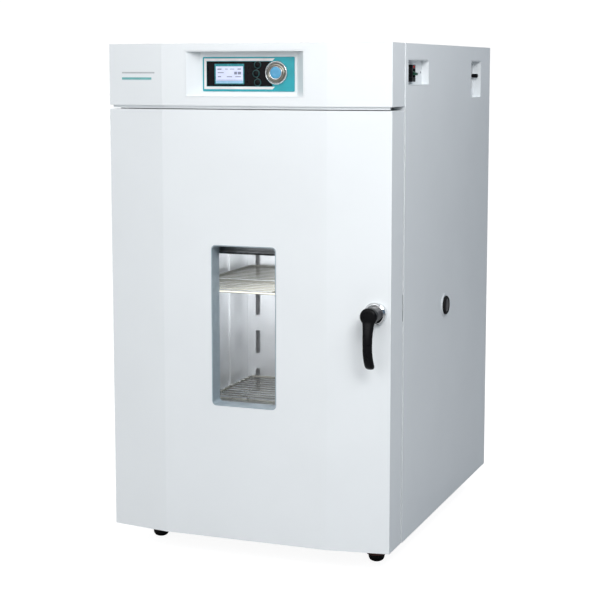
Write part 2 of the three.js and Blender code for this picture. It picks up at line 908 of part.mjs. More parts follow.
/** Flanged bearing for the hinge pin, let into the door's top or bottom edge. */
function hingeBush(edge, inward) {
  const profile = [
    [hingePinRadius + clearance, 0],
    [bushRadius, 0],
    [bushRadius, sheet + clearance],
    [bushRadius + 5, sheet + clearance],
    [bushRadius + 5, sheet + 5],
    [bushRadius, sheet + 5],
    [bushRadius, 12],
    [hingePinRadius + clearance, 12],
  ].map(([radius, deep]) => [radius, edge + inward * deep]);
  if (inward < 0) {
    profile.reverse();
  }
  profile.push(profile[0]);
  return turned("z", [hingePivot.x, hingePivot.y], profile, smallSides + 4);
}

// ---------------------------------------------------------------------------------------------
// Hinges and catch
// ---------------------------------------------------------------------------------------------

const hingePlateThickness = 3;

/** Plate in the gap above the door, bent up behind the fascia, with its riveted pin. */
function topHinge() {
  const plate = [doorHeight + 2.5, doorHeight + 2.5 + hingePlateThickness];
  const rear = cabinetFront + sheet;
  return join(
    block([hingePivot.x - 16, -157], [hingePivot.y - 16, doorBack], plate),
    block([-300, -157], [doorBack - 1, rear], plate),
    block([-300, -157], [rear - 1.6, rear], [plate[0], plate[0] + 60]),
    rod("z", [hingePivot.x, hingePivot.y], hingePinRadius, [doorHeight - 12, plate[1]], 24),
  );
}

/** Plate under the door and the cabinet's edge, with its riveted pin. */
function bottomHinge() {
  const plate = [-0.5 - hingePlateThickness, -0.5];
  return join(
    block([hingePivot.x - 14, hingePivot.x + 14], [hingePivot.y - 14, 180], plate),
    rod("z", [hingePivot.x, hingePivot.y], hingePinRadius, [plate[0], 12], 24),
  );
}

/** Wear pad on the cabinet's front fold, facing the latch cam. */
function strikePlate() {
  const back = cabinetFront - clearance;
  return prism("y", roundedRectangle([303, 325], around(handle.z, 30), 3), [back - 1.6, back]);
}

// ---------------------------------------------------------------------------------------------
// Handle
// ---------------------------------------------------------------------------------------------

const roseFront = facetY(handle.x) - 12;

/** Round rose whose back follows the slanted facet. */
function handleEscutcheon() {
  const centre = [handle.x, handle.z];
  return cut(
    turned("y", centre, [
      [0, roseFront],
      [handle.roseRadius - 2, roseFront],
      [handle.roseRadius, roseFront + 2],
      [handle.roseRadius, 5],
      [0, 5],
    ]),
    prism("z", frontOutline(-clearance, doorBack), [handle.z - 40, handle.z + 40]),
    rod("y", centre, spindleRadius + clearance, [roseFront - 1, 5], smallSides),
  );
}

/** Lever: a round head on a hub and an arm that hangs down and bows outwards. */
function handleLever() {
  const centre = [handle.x, handle.z];
  const head = -46; // y of the head's rear face
  const reach = handle.headRadius;
  const hub = rod("y", centre, handle.hubRadius, [head - 4, roseFront - clearance], 24);
  const top = turned("y", centre, [
    [0, head - 14],
    [reach - 4, head - 13],
    [reach, head - 9],
    [reach, head - 2],
    [reach - 2, head],
    [0, head],
  ], 24);
  const side = new THREE.Shape();
  const { z } = handle;
  side.moveTo(head - 13, z + 2);
  side.bezierCurveTo(head - 16, z - 24, head - 26, z - 48, head - 18, z - 81);
  side.bezierCurveTo(head - 15, z - 94, head - 8, z - 104, head + 2, z - 112.5);
  side.bezierCurveTo(head + 8, z - 114.5, head + 12, z - 109.5, head + 9, z - 104.5);
  side.bezierCurveTo(head - 1, z - 94, head - 4, z - 84, head - 6, z - 73);
  side.bezierCurveTo(head - 11, z - 48, head - 4, z - 24, head - 3, z + 2);
  const armHalf = handle.armWidth / 2;
  const arm = prism("x", side, [handle.x - armHalf, handle.x + armHalf], 5);
  const blind = rod("y", centre, spindleRadius + clearance, [head, roseFront], smallSides);
  return cut(join(hub, top, arm), blind);
}

const camBack = doorBack + clearance + camThickness;

function handleSpindle() {
  return rod("y", [handle.x, handle.z], spindleRadius, [-45, camBack], smallSides);
}

/** Flat cam in the gap behind the door, turned by the spindle. */
function latchCam() {
  const { x, z } = handle;
  const span = [doorBack + clearance, camBack];
  const arm = roundedRectangle([x - 8, x + 23], [z - 8, z + 8], 7.9);
  return cut(
    prism("y", arm, span),
    rod("y", [x, z], spindleRadius + clearance, grow(span, 1), smallSides),
  );
}

// ---------------------------------------------------------------------------------------------
// Assembly
// ---------------------------------------------------------------------------------------------

const incubator = new THREE.Group();
const cabinetFrame = new THREE.Group();
cabinetFrame.position.set(0, -(depth - leverReach) / 2, footHeight);
incubator.add(cabinetFrame);

function add(name, solid, material) {
  const mesh = new THREE.Mesh(geometryOf(solid), material);
  mesh.name = name;
  cabinetFrame.add(mesh);
  return mesh;
}

// Casing
add("outer_shell", outerShell(), whitePaint);
add("back_panel", backPanel(), palePaint);
add("base_pan", basePan(), satinSteel);
add("front_frame", frontFrame(), palePaint);

// Chamber and air circulation
add("chamber_liner", chamberLiner(), stainless);
add("insulation_jacket", insulationJacket(), glassWool);
add("duct_panel", ductPanel(), stainless);
add("fan_impeller", fanImpeller(), aluminium);
add("fan_motor", fanMotor(), satinSteel);
add("heater_coil", heaterCoil(), satinSteel);
add("temperature_probe", temperatureProbe(), chromed);
add("shelf_rack_left", shelfRack(-1), stainless);
add("shelf_rack_right", shelfRack(1), stainless);
for (const shelf of shelfLevels) {
  add(shelf.name, wireShelf(shelf.z), brightWire);
}

// Control head
add("fascia", fascia(), whitePaint);
add("control_bezel", controlBezel(), palePaint);
add("control_overlay", controlOverlay(), tealLabel);
add("display_module", displayModule(), screenPlastic);
add("dial_ring", dialRing(), chromed);
add("jog_dial", jogDial(), chromed);
add("dial_button", dialButton(), bluePlastic);
for (const key of keys) {
  add(key.name, controlKey(key), blackPlastic);
}
add("controller_board", controllerBoard(), circuitGreen);

// Side and rear fittings
add("switch_pocket", switchPocket(), whitePaint);
add("switch_body", switchBody(), blackPlastic);
const toggle = add("power_toggle", powerToggle(), blackPlastic);
toggle.position.set(toggleAxis.x, middle(switchBox.y) + 1.5, toggleAxis.z);
toggle.rotation.y = THREE.MathUtils.degToRad(toggleTilt);
add("damper_pocket", damperPocket(), whitePaint);
add("damper_slider", damperSlider(), blackPlastic);
add("port_sleeve", portSleeve(), palePaint);
add("port_stopper", portStopper(), darkRubber);
add("power_inlet", powerInlet(), blackPlastic);

// Feet
for (const foot of footPlaces) {
  add(`foot_pad_${foot.name}`, footPad(foot), darkRubber);
  add(`foot_adjuster_${foot.name}`, footAdjuster(foot), redBrownZinc);
}

// Door
add("door_skin", doorSkin(), whitePaint);
add("door_insulation", doorInsulation(), glassWool);
add("door_liner", doorLiner(), stainless);
add("door_gasket", doorGasket(), paleGasket);
add("window_frame", windowFrame(), blueSteel);
add("window_glass_outer", windowGlass(outerGlass), clearGlass);
add("window_glass_inner", windowGlass(innerGlass), clearGlass);
add("window_spacer", windowSpacer(), blueSteel);
add("hinge_bush_upper", hingeBush(doorHeight, -1), brassBush);
add("hinge_bush_lower", hingeBush(0, 1), brassBush);

// Hinges, catch and handle
add("top_hinge", topHinge(), palePaint);
add("bottom_hinge", bottomHinge(), satinSteel);
add("strike_plate", strikePlate(), satinSteel);
add("handle_escutcheon", handleEscutcheon(), chromed);
add("handle_lever", handleLever(), blackPlastic);
add("handle_spindle", handleSpindle(), satinSteel);
add("latch_cam", latchCam(), satinSteel);

export default incubator;
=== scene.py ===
"""Looks of a floor-standing laboratory incubator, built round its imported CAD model.

Positions and profiles are in millimetres in the cabinet's own frame, as in the CAD source: x = 0 is
the middle, y = 0 the side edges of the door, z = 0 the underside of the door. TO_ROW takes them to
the row frame in metres.
"""

from math import cos, pi, radians, sin

import bmesh
import bpy
from mathutils import Matrix, Vector


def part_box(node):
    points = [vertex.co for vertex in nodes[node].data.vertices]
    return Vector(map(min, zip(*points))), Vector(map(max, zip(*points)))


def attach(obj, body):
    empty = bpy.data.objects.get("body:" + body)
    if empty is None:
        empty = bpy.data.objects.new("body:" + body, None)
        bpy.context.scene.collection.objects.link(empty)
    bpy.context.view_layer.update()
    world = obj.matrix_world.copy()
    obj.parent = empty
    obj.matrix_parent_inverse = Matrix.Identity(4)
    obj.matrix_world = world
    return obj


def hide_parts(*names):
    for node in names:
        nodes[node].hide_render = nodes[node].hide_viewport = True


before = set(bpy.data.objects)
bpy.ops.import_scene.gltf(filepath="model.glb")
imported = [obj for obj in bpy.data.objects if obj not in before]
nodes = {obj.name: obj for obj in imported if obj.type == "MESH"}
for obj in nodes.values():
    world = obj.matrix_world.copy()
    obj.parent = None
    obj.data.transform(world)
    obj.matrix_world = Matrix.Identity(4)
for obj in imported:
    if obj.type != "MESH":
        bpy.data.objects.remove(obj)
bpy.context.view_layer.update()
scene = bpy.context.scene

MM = 0.001
CABINET_DEPTH = 819  # door's side edges to the back panel
ORIGIN = Vector((0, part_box("back_panel")[1].y - CABINET_DEPTH * MM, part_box("outer_shell")[0].z))
TO_ROW = Matrix.Translation(ORIGIN) @ Matrix.Scale(MM, 4)

FACET_HALF = 189  # half width of the front's centre facet
FACET_BULGE = 20.4  # how far the centre facet stands ahead of the side edges
DOOR_HALF = 325
LINER_OPENING_X = (-106, 106)  # the window's opening in the door liner
LINER_OPENING_Z = (265, 624)
POCKET_SHEET = 1.5  # thickness of the two side pockets' floors


def limits(node):
    """A CAD node's span along x, y and z, in cabinet millimetres."""
    low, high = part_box(node)
    return [((low[i] - ORIGIN[i]) / MM, (high[i] - ORIGIN[i]) / MM) for i in range(3)]


def middle(span):
    return (span[0] + span[1]) / 2


def half(span):
    return (span[1] - span[0]) / 2


def shrink(span, amount):
    return (span[0] + amount, span[1] - amount)


# ------------------------------------------------------------------------------------------------
# Camera, world and light
# ------------------------------------------------------------------------------------------------


def make_camera():
    """Viewpoint ahead of the door, well to its right and a little above the middle."""
    data = bpy.data.cameras.new("photo_camera")
    data.sensor_width = 36
    data.lens = 91.7
    data.shift_y = -0.0667
    camera = bpy.data.objects.new("photo_camera", data)
    camera.location = (1.2697, -3.3835, 1.0716)
    camera.rotation_euler = (pi / 2 - 0.123, 0, 0.3645)
    scene.collection.objects.link(camera)
    scene.camera = camera


def unlike_for_camera(tree, lit, seen, output):
    """Shows one shader to the camera, and lights the object with the other."""
    path = tree.nodes.new("ShaderNodeLightPath")
    mix = tree.nodes.new("ShaderNodeMixShader")
    tree.links.new(path.outputs["Is Camera Ray"], mix.inputs["Fac"])
    tree.links.new(lit, mix.inputs[1])
    tree.links.new(seen, mix.inputs[2])
    tree.links.new(mix.outputs["Shader"], tree.nodes[output].inputs["Surface"])


def ramp_between(tree, source, first, second):
    """Colour that goes from one (position, colour) to another as the source rises."""
    ramp = tree.nodes.new("ShaderNodeValToRGB")
    for element, (position, colour) in zip(ramp.color_ramp.elements, (first, second)):
        element.position = position
        element.color = (*colour, 1)
    tree.links.new(source, ramp.inputs["Fac"])
    return ramp.outputs["Color"]


def make_world():
    """White studio that is darker and bluer towards the object's right-hand side."""
    world = bpy.data.worlds.new("studio")
    world.use_nodes = True
    tree = world.node_tree
    lit = tree.nodes["Background"]
    seen = tree.nodes.new("ShaderNodeBackground")
    seen.inputs["Color"].default_value = (1, 1, 1, 1)
    seen.inputs["Strength"].default_value = 1.05
    direction = tree.nodes.new("ShaderNodeTexCoord")
    split = tree.nodes.new("ShaderNodeSeparateXYZ")
    tree.links.new(direction.outputs["Generated"], split.inputs["Vector"])
    shade = ramp_between(tree, split.outputs["X"], (0, (0.67, 0.685, 0.7)), (0.6, (0.115, 0.165, 0.225)))
    tree.links.new(shade, lit.inputs["Color"])
    unlike_for_camera(tree, lit.outputs["Background"], seen.outputs["Background"], "World Output")
    scene.world = world


def make_floor():
    """Wide white floor that keeps only a faint shadow under the cabinet."""
    material = bpy.data.materials.new("floor_white")
    material.use_nodes = True
    tree = material.node_tree
    tree.nodes.remove(tree.nodes["Principled BSDF"])
    glow = tree.nodes.new("ShaderNodeEmission")
    glow.inputs["Strength"].default_value = 0.93
    pale = tree.nodes.new("ShaderNodeBsdfDiffuse")
    pale.inputs["Color"].default_value = (0.24, 0.24, 0.24, 1)
    seen = tree.nodes.new("ShaderNodeAddShader")
    grey = tree.nodes.new("ShaderNodeBsdfDiffuse")
    grey.inputs["Color"].default_value = (0.4, 0.4, 0.4, 1)
    tree.links.new(glow.outputs["Emission"], seen.inputs[0])
    tree.links.new(pale.outputs["BSDF"], seen.inputs[1])
    unlike_for_camera(tree, grey.outputs["BSDF"], seen.outputs["Shader"], "Material Output")

    reach = 60
    mesh = bpy.data.meshes.new("floor")
    corners = [(-reach, -reach, 0), (reach, -reach, 0), (reach, reach, 0), (-reach, reach, 0)]
    mesh.from_pydata(corners, [], [(0, 1, 2, 3)])
    mesh.materials.append(material)
    floor = bpy.data.objects.new("floor", mesh)
    scene.collection.objects.link(floor)


def area_light(name, place, target, size, power, colour=(1, 1, 1)):
    data = bpy.data.lights.new(name, "AREA")
    data.shape = "RECTANGLE"
    data.size, data.size_y = size
    data.energy = power
    data.color = colour
    light = bpy.data.objects.new(name, data)
    light.location = place
    aim = Vector(target) - Vector(place)
    light.rotation_euler = aim.to_track_quat("-Z", "Y").to_euler()
    light.visible_camera = False
    scene.collection.objects.link(light)


def make_lights():
    area_light("key", (1.6, -2.2, 2.2), (0, 0, 0.75), (1.2, 1.2), 42)
    area_light("front", (-0.6, -3.8, 2.0), (0, 0, 0.7), (2.2, 2.2), 28)
    area_light("side", (1.5, -0.9, 1.9), (0.33, -0.2, 0.9), (0.6, 0.6), 5)
    area_light("top", (0, 0.2, 3.4), (0, 0, 0.5), (2.4, 2.4), 20)
    area_light("rear", (-1.8, 3.2, 2.0), (0, 0, 0.6), (2.0, 2.0), 30)
    door_rear = limits("door_liner")[1][1]
    window_middle = middle(limits("window_frame")[2])
    inside = TO_ROW @ Vector((0, door_rear + 15, window_middle + 130))
    ahead = TO_ROW @ Vector((0, door_rear + 500, window_middle + 130))
    area_light("chamber", inside, ahead, (0.44, 0.5), 5.6, (0.97, 0.99, 1.0))


# ------------------------------------------------------------------------------------------------
# Materials
# ------------------------------------------------------------------------------------------------


def shader(name, colour, roughness, metallic=0.0, **sockets):
    """Material with one Principled BSDF whose constants sit on its own sockets."""
    material = bpy.data.materials.new(name)
    material.use_nodes = True
    bsdf = material.node_tree.nodes["Principled BSDF"]
    bsdf.inputs["Base Color"].default_value = (*colour, 1)
    bsdf.inputs["Roughness"].default_value = roughness
    bsdf.inputs["Metallic"].default_value = metallic
    for socket, value in sockets.items():
        bsdf.inputs[socket.replace("_", " ")].default_value = value
    return material


def noise(material, scale, detail=3, stretch=(1, 1, 1)):
    """Noise over object coordinates, with about that many features in a metre."""
    tree = material.node_tree
    coordinates = tree.nodes.new("ShaderNodeTexCoord")
    mapping = tree.nodes.new("ShaderNodeMapping")
    mapping.inputs["Scale"].default_value = stretch
    texture = tree.nodes.new("ShaderNodeTexNoise")
    texture.inputs["Scale"].default_value = scale
    texture.inputs["Detail"].default_value = detail
    tree.links.new(coordinates.outputs["Object"], mapping.inputs["Vector"])
    tree.links.new(mapping.outputs["Vector"], texture.inputs["Vector"])
    return texture.outputs["Fac"]


def vary_roughness(material, source, low, high):
    tree = material.node_tree
    spread = tree.nodes.new("ShaderNodeMapRange")
    spread.inputs["From Min"].default_value = 0.3
    spread.inputs["From Max"].default_value = 0.7
    spread.inputs["To Min"].default_value = low
    spread.inputs["To Max"].default_value = high
    tree.links.new(source, spread.inputs["Value"])
    tree.links.new(spread.outputs["Result"], tree.nodes["Principled BSDF"].inputs["Roughness"])


def vary_colour(material, source, first, second):
    tree = material.node_tree
    shade = ramp_between(tree, source, (0.3, first), (0.7, second))
    tree.links.new(shade, tree.nodes["Principled BSDF"].inputs["Base Color"])


def relief(material, source, height):
    """Bump of about that height in millimetres."""
    tree = material.node_tree
    bump = tree.nodes.new("ShaderNodeBump")
    bump.inputs["Distance"].default_value = height * MM
    tree.links.new(source, bump.inputs["Height"])
    tree.links.new(bump.outputs["Normal"], tree.nodes["Principled BSDF"].inputs["Normal"])


def tone(colour, factor):
    return tuple(channel * factor for channel in colour)


def paint(name, colour, roughness):
    """Baked powder coat with a fine orange peel and a gloss that changes a little."""
    material = shader(name, colour, roughness, Coat_Weight=0.12, Coat_Roughness=0.12)
    vary_colour(material, noise(material, 6), tone(colour, 0.985), tone(colour, 1.01))
    vary_roughness(material, noise(material, 40), roughness - 0.04, roughness + 0.05)
    relief(material, noise(material, 420, 2), 0.012)
    return material


def brushed(name, colour, low, high, stretch):
    """Sheet metal with fine lines along one direction."""
    material = shader(name, colour, low, 1.0)
    lines = noise(material, 60, 5, stretch)
    vary_colour(material, lines, tone(colour, 0.93), tone(colour, 1.04))
    vary_roughness(material, lines, low, high)
    relief(material, lines, 0.008)
    return material


def metal(name, colour, roughness, metallic=1.0):
    """Plain metal with faint handling marks."""
    material = shader(name, colour, roughness, metallic)
    vary_colour(material, noise(material, 90), tone(colour, 0.94), tone(colour, 1.03))
    vary_roughness(material, noise(material, 35), roughness * 0.8, roughness * 1.3)
    relief(material, noise(material, 900, 2), 0.004)
    return material


def plastic(name, colour, roughness, grain=1400, height=0.01, **sockets):
    """Moulded plastic or rubber with a fine grain."""
    material = shader(name, colour, roughness, **sockets)
    vary_colour(material, noise(material, 30), tone(colour, 0.9), tone(colour, 1.1))
    vary_roughness(material, noise(material, 120), roughness - 0.05, roughness + 0.06)
    relief(material, noise(material, grain, 2), height)
    return material


def glass_wool():
    """Yellow mineral wool with matted fibres."""
    material = shader("glass_wool", (0.66, 0.57, 0.28), 0.95)
    fibres = noise(material, 90, 8, (1, 1, 4))
    vary_colour(material, fibres, (0.5, 0.42, 0.18), (0.8, 0.72, 0.42))
    relief(material, fibres, 1.5)
    return material


def clear_glass():
    """Clear float glass with faint wipe marks."""
    material = shader("clear_glass", (0.985, 0.985, 0.99), 0.02, Transmission_Weight=1.0, IOR=1.5)
    vary_roughness(material, noise(material, 14, 3, (1, 1, 3)), 0.0, 0.035)
    return material


def circuit_board():
    material = shader("circuit_green", (0.025, 0.14, 0.07), 0.45)
    vary_colour(material, noise(material, 220, 1), (0.02, 0.11, 0.055), (0.05, 0.22, 0.11))
    relief(material, noise(material, 500, 2), 0.08)
    return material


def make_materials():
    steel_grey = (0.6, 0.61, 0.62)
    return {
        "white_paint": paint("white_paint", (0.845, 0.872, 0.885), 0.34),
        "pale_paint": paint("pale_paint", (0.72, 0.745, 0.76), 0.42),
        "stainless": brushed("stainless", steel_grey, 0.36, 0.5, (0.3, 0.3, 14)),
        "satin_steel": metal("satin_steel", (0.46, 0.475, 0.49), 0.38),
        "blue_steel": metal("blue_steel", (0.4, 0.48, 0.53), 0.42, 0.35),
        "chrome": metal("chrome", (0.78, 0.79, 0.8), 0.1),
        "satin_chrome": metal("satin_chrome", (0.3, 0.29, 0.25), 0.3),
        "bright_wire": metal("bright_wire", (0.2, 0.195, 0.165), 0.38),
        "black_plastic": plastic(
            "black_plastic", (0.004, 0.004, 0.005), 0.3, Specular_IOR_Level=0.12
        ),
        # dark grey, a little lighter than the black plastic; the lever's hub and the stopper's dished
        # face are drawn in it
        "dark_grey": plastic("dark_grey", (0.05, 0.046, 0.05), 0.36),
        "dark_rubber": plastic(
            "dark_rubber", (0.008, 0.008, 0.008), 0.7, 700, 0.03, Specular_IOR_Level=0.2
        ),
        "pale_gasket": plastic("pale_gasket", (0.46, 0.48, 0.49), 0.68, 500, 0.02),
        "glass_wool": glass_wool(),
        "clear_glass": clear_glass(),
        "teal_label": plastic("teal_label", (0.012, 0.34, 0.40), 0.34, 900, 0.004),
        "cream_print": plastic("cream_print", (0.78, 0.74, 0.73), 0.36, 900, 0.004),
        "black_print": plastic(
            "black_print", (0.004, 0.003, 0.004), 0.3, 900, 0.003, Specular_IOR_Level=0.12
        ),
        "screen_plastic": plastic(
            "screen_plastic",
            (0.56, 0.6, 0.78),
            0.2,
            900,
            0.001,
            Emission_Color=(0.6, 0.62, 0.82, 1),
            Emission_Strength=0.3,
        ),
        "screen_border": plastic("screen_border", (0.015, 0.24, 0.27), 0.25, 900, 0.002),
        "screen_bar": plastic("screen_bar", (0.22, 0.24, 0.33), 0.3, 900, 0.001),
        "screen_foot": plastic("screen_foot", (0.3, 0.55, 0.76), 0.25, 900, 0.001),
        "key_rim": plastic("key_rim", (0.012, 0.07, 0.07), 0.35),
        "blue_plastic": plastic("blue_plastic", (0.09, 0.36, 0.6), 0.25, 900, 0.006),
        "red_lens": plastic("red_lens", (0.5, 0.012, 0.01), 0.2, 900, 0.01),
        "green_plastic": plastic("green_plastic", (0.02, 0.09, 0.055), 0.3),
        "mark_grey": plastic("mark_grey", (0.52, 0.54, 0.56), 0.4, 900, 0.002),
        "mark_teal": plastic("mark_teal", (0.18, 0.5, 0.5), 0.4, 900, 0.002),
        "brass_bush": metal("brass_bush", (0.56, 0.42, 0.16), 0.35),
        "circuit_green": circuit_board(),
        "aluminium": metal("aluminium", (0.62, 0.63, 0.64), 0.36),
        # dark red-brown standing in for the shaded underside beside the feet: painted shade on the
        # levelling wheels
        "brown_zinc": metal("brown_zinc", (0.12, 0.055, 0.045), 0.42, 0.7),
    }


# ------------------------------------------------------------------------------------------------
# Mesh building
# ------------------------------------------------------------------------------------------------


def rounded(points, closed=False, steps=4):
    """Turns points (u, v, radius) into a line whose corners are curved by about that radius."""
    line = []
    last = len(points) - 1
    for i, (u, v, radius) in enumerate(points):
        corner = Vector((u, v))
        if radius == 0 or (not closed and i in (0, last)):
            line.append(corner)
            continue
        before = Vector(points[i - 1][:2])
        after = Vector(points[(i + 1) % len(points)][:2])
        start = corner + (before - corner).normalized() * radius
        end = corner + (after - corner).normalized() * radius
        for k in range(steps + 1):
            t = k / steps
            line.append((1 - t) ** 2 * start + 2 * t * (1 - t) * corner + t**2 * end)
    return line


def profile_of(*points, steps=4):
    """Open line for a turned form, from points (radius, place on the axis, corner radius)."""
    return rounded(points, steps=steps)


def rectangle(u, v, radius, steps=5):
    """Closed rounded rectangle between two spans."""
    corners = [(u[0], v[0]), (u[1], v[0]), (u[1], v[1]), (u[0], v[1])]
    return rounded([(*corner, radius) for corner in corners], closed=True, steps=steps)


def circle(centre, radius, sides=48):
    u, v = centre
    angles = [2 * pi * i / sides for i in range(sides)]
    return [Vector((u + radius * cos(a), v + radius * sin(a))) for a in angles]


def on_axis(axis, centre, across, up, along):
    """Point beside an axis. The centre gives the two other coordinates in x, y, z order."""
    u, v = centre
    if axis == "x":
        return Vector((along, u + across, v + up))
    if axis == "y":
        return Vector((u + across, along, v + up))
    return Vector((u + across, v + up, along))


def bridge(bm, first, second, slot=0):
    """Faces between two rings of vertices, either of which may be a single point."""
    count = max(len(first), len(second))
    for i in range(count):
        j = (i + 1) % count
        if len(first) == 1:
            corners = [first[0], second[i], second[j]]
        elif len(second) == 1:
            corners = [first[i], first[j], second[0]]
        else:
            corners = [first[i], first[j], second[j], second[i]]
        bm.faces.new(corners).material_index = slot


def lathe(bm, axis, centre, profile, sides=48, closed=False, slot=0, flutes=0, flute_depth=0.0):
    """Turned form. The profile lists (radius, place on the axis). Flutes notch every other side."""
    rings = []
    widest = max(radius for radius, along in profile)
    for radius, along in profile:
        if radius < 1e-6:
            rings.append([bm.verts.new(on_axis(axis, centre, 0, 0, along))])
            continue
        ring = []
        for i in range(sides):
            angle = 2 * pi * i / sides
            notched = flutes and radius > widest * 0.9 and int(angle * flutes / pi) % 2
            reach = radius - flute_depth if notched else radius
            place = on_axis(axis, centre, reach * cos(angle), reach * sin(angle), along)
            ring.append(bm.verts.new(place))
        rings.append(ring)
    for first, second in zip(rings, rings[1:]):
        bridge(bm, first, second, slot)
    if closed:
        bridge(bm, rings[-1], rings[0], slot)


def rod(bm, axis, centre, radius, span, sides=12):
    """Round bar with softened ends."""
    edge = radius * 0.25
    profile = [
        (0, span[0]),
        (radius - edge, span[0]),
        (radius, span[0] + edge),
        (radius, span[1] - edge),
        (radius - edge, span[1]),
        (0, span[1]),
    ]
    lathe(bm, axis, centre, profile, sides)


def prism(bm, axis, outline, span, edge=0.0):
    """Straight extrusion of a convex outline, with a small chamfer at both ends."""
    centre = sum(outline, Vector((0, 0))) / len(outline)

    def ring(along, inset):
        points = []
        for point in outline:
            away = point - centre
            moved = centre + away * (1 - inset / max(away.length, 1e-6))
            points.append(bm.verts.new(on_axis(axis, (0, 0), moved.x, moved.y, along)))
        return points

    start, end = span
    rings = [ring(start, edge), ring(end, edge)]
    if edge > 0:
        rings[1:1] = [ring(start + edge, 0), ring(end - edge, 0)]
    for first, second in zip(rings, rings[1:]):
        bridge(bm, first, second)
    bm.faces.new(rings[0])
    bm.faces.new(rings[-1])


def with_outward(outline):
    """Each point of a closed outline, with the direction that leads away from the outline."""
    pairs = []
    for i, point in enumerate(outline):
        along = (outline[(i + 1) % len(outline)] - outline[i - 1]).normalized()
        pairs.append((point, Vector((along.y, -along.x))))
    return pairs


def close_loop(bm, rings):
    """Skin over rings that run round and meet again."""
    for i, ring in enumerate(rings):
        bridge(bm, ring, rings[(i + 1) % len(rings)])


def loft(bm, sections):
    """Skin over rings of equal length, closed at both ends."""
    rings = [[bm.verts.new(point) for point in section] for section in sections]
    for first, second in zip(rings, rings[1:]):
        bridge(bm, first, second)
    bm.faces.new(rings[0])
    bm.faces.new(rings[-1])


def add_piece(name, bm, finishes, body, stands_for=(), crease=35):
    """Turns a bmesh in cabinet millimetres into a piece that rides on a body."""
    bmesh.ops.recalc_face_normals(bm, faces=bm.faces)
    bm.transform(TO_ROW)
    mesh = bpy.data.meshes.new(name)
    bm.to_mesh(mesh)
    bm.free()
    for finish in finishes:
        mesh.materials.append(finish)
    mesh.shade_smooth()
    mesh.set_sharp_from_angle(angle=radians(crease))
    piece = bpy.data.objects.new(name, mesh)
    scene.collection.objects.link(piece)
    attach(piece, body)
    if stands_for:
        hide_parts(*stands_for)
    return piece


def flat_piece(name, outlines, span, finish, body, stands_for=()):
    """Upright sheet between two places on y. The first outline is its edge, the rest are holes."""
    curve = bpy.data.curves.new(name, "CURVE")
    curve.dimensions = "2D"
    curve.fill_mode = "BOTH"
    curve.extrude = half(span)
    for outline in outlines:
        spline = curve.splines.new("POLY")
        spline.points.add(len(outline) - 1)
        for point, (u, v) in zip(spline.points, outline):
            point.co = (u, v, 0, 1)
        spline.use_cyclic_u = True
    holder = bpy.data.objects.new(name + "_curve", curve)
    mesh = bpy.data.meshes.new_from_object(holder)
    bpy.data.objects.remove(holder)
    bm = bmesh.new()
    bm.from_mesh(mesh)
    bpy.data.meshes.remove(mesh)
    bmesh.ops.remove_doubles(bm, verts=bm.verts, dist=1e-4)
    bm.transform(Matrix(((1, 0, 0, 0), (0, 0, 1, middle(span)), (0, 1, 0, 0), (0, 0, 0, 1))))
    return add_piece(name, bm, [finish], body, stands_for, crease=30)


def screw(bm, axis, centre, face, outward, radius=3.2):
    """Pan head with a shallow dish in its middle, standing on a face."""
    profile = profile_of(
        (radius, face, 0),
        (radius, face + outward * radius * 0.45, radius * 0.25),
        (radius * 0.45, face + outward * radius * 0.62, 0.1),
        (radius * 0.3, face + outward * radius * 0.3, 0),
        (0, face + outward * radius * 0.3, 0),
        steps=3,
    )
    lathe(bm, axis, centre, [(0, face), *profile], 12)


# ------------------------------------------------------------------------------------------------
# CAD nodes that stay
# ------------------------------------------------------------------------------------------------

KEPT_FINISH = {
    "white_paint": [
        "outer_shell",
        "fascia",
        "control_bezel",
        "door_skin",
        "switch_pocket",
        "damper_pocket",
    ],
    "pale_paint": ["back_panel", "front_frame", "top_hinge"],
    "stainless": ["chamber_liner", "duct_panel", "shelf_rack_left", "shelf_rack_right", "door_liner"],
    "satin_steel": [
        "base_pan",
        "fan_motor",
        "heater_coil",
        "bottom_hinge",
        "strike_plate",
        "handle_spindle",
        "latch_cam",
    ],
    "blue_steel": ["window_frame", "window_spacer"],
    "glass_wool": ["insulation_jacket", "door_insulation"],
    "clear_glass": ["window_glass_outer", "window_glass_inner"],
    "aluminium": ["fan_impeller"],
    "circuit_green": ["controller_board"],
    "brass_bush": ["hinge_bush_upper", "hinge_bush_lower"],
}
SOFT_EDGES = {  # node: (width of the rounding in millimetres, smallest angle that is rounded)
    "outer_shell": (0.7, 30),
    "fascia": (1.0, 30),
    "door_skin": (1.2, 30),
    "control_bezel": (1.0, 12),
    "window_frame": (0.5, 30),
    "switch_pocket": (0.5, 30),
    "damper_pocket": (0.5, 30),
    "top_hinge": (0.5, 30),
    "bottom_hinge": (0.5, 30),
    "window_glass_outer": (0.4, 30),
    "window_glass_inner": (0.4, 30),
    "chamber_liner": (0.4, 30),
    "shelf_rack_left": (0.6, 30),
    "shelf_rack_right": (0.6, 30),
}


FACETED = ["door_skin", "fascia"]  # panels whose shallow folds stay crisp


def dress_node(name, finish):
    """Gives a CAD node its material, smooth shading between creases, and rounded edges."""
    node = nodes[name]
    mesh = node.data
    mesh.materials.clear()
    mesh.materials.append(finish)
    mesh.shade_smooth()
    crease = 6 if name in FACETED else 25
    mesh.set_sharp_from_angle(angle=radians(crease))
    if name in SOFT_EDGES:
        width, angle = SOFT_EDGES[name]
        bevel = node.modifiers.new("edges", "BEVEL")
        bevel.width = width * MM
        bevel.segments = 2
        bevel.limit_method = "ANGLE"
        bevel.angle_limit = radians(angle)
        bevel.harden_normals = True


def dress_nodes(finishes):
    for finish, names in KEPT_FINISH.items():
        for name in names:
            dress_node(name, finishes[finish])


# ------------------------------------------------------------------------------------------------
# Handle
# ------------------------------------------------------------------------------------------------


def facet_y(x):
    """Place of the slanted facet's surface, as y for a given x."""
    return -FACET_BULGE * (DOOR_HALF - abs(x)) / (DOOR_HALF - FACET_HALF)


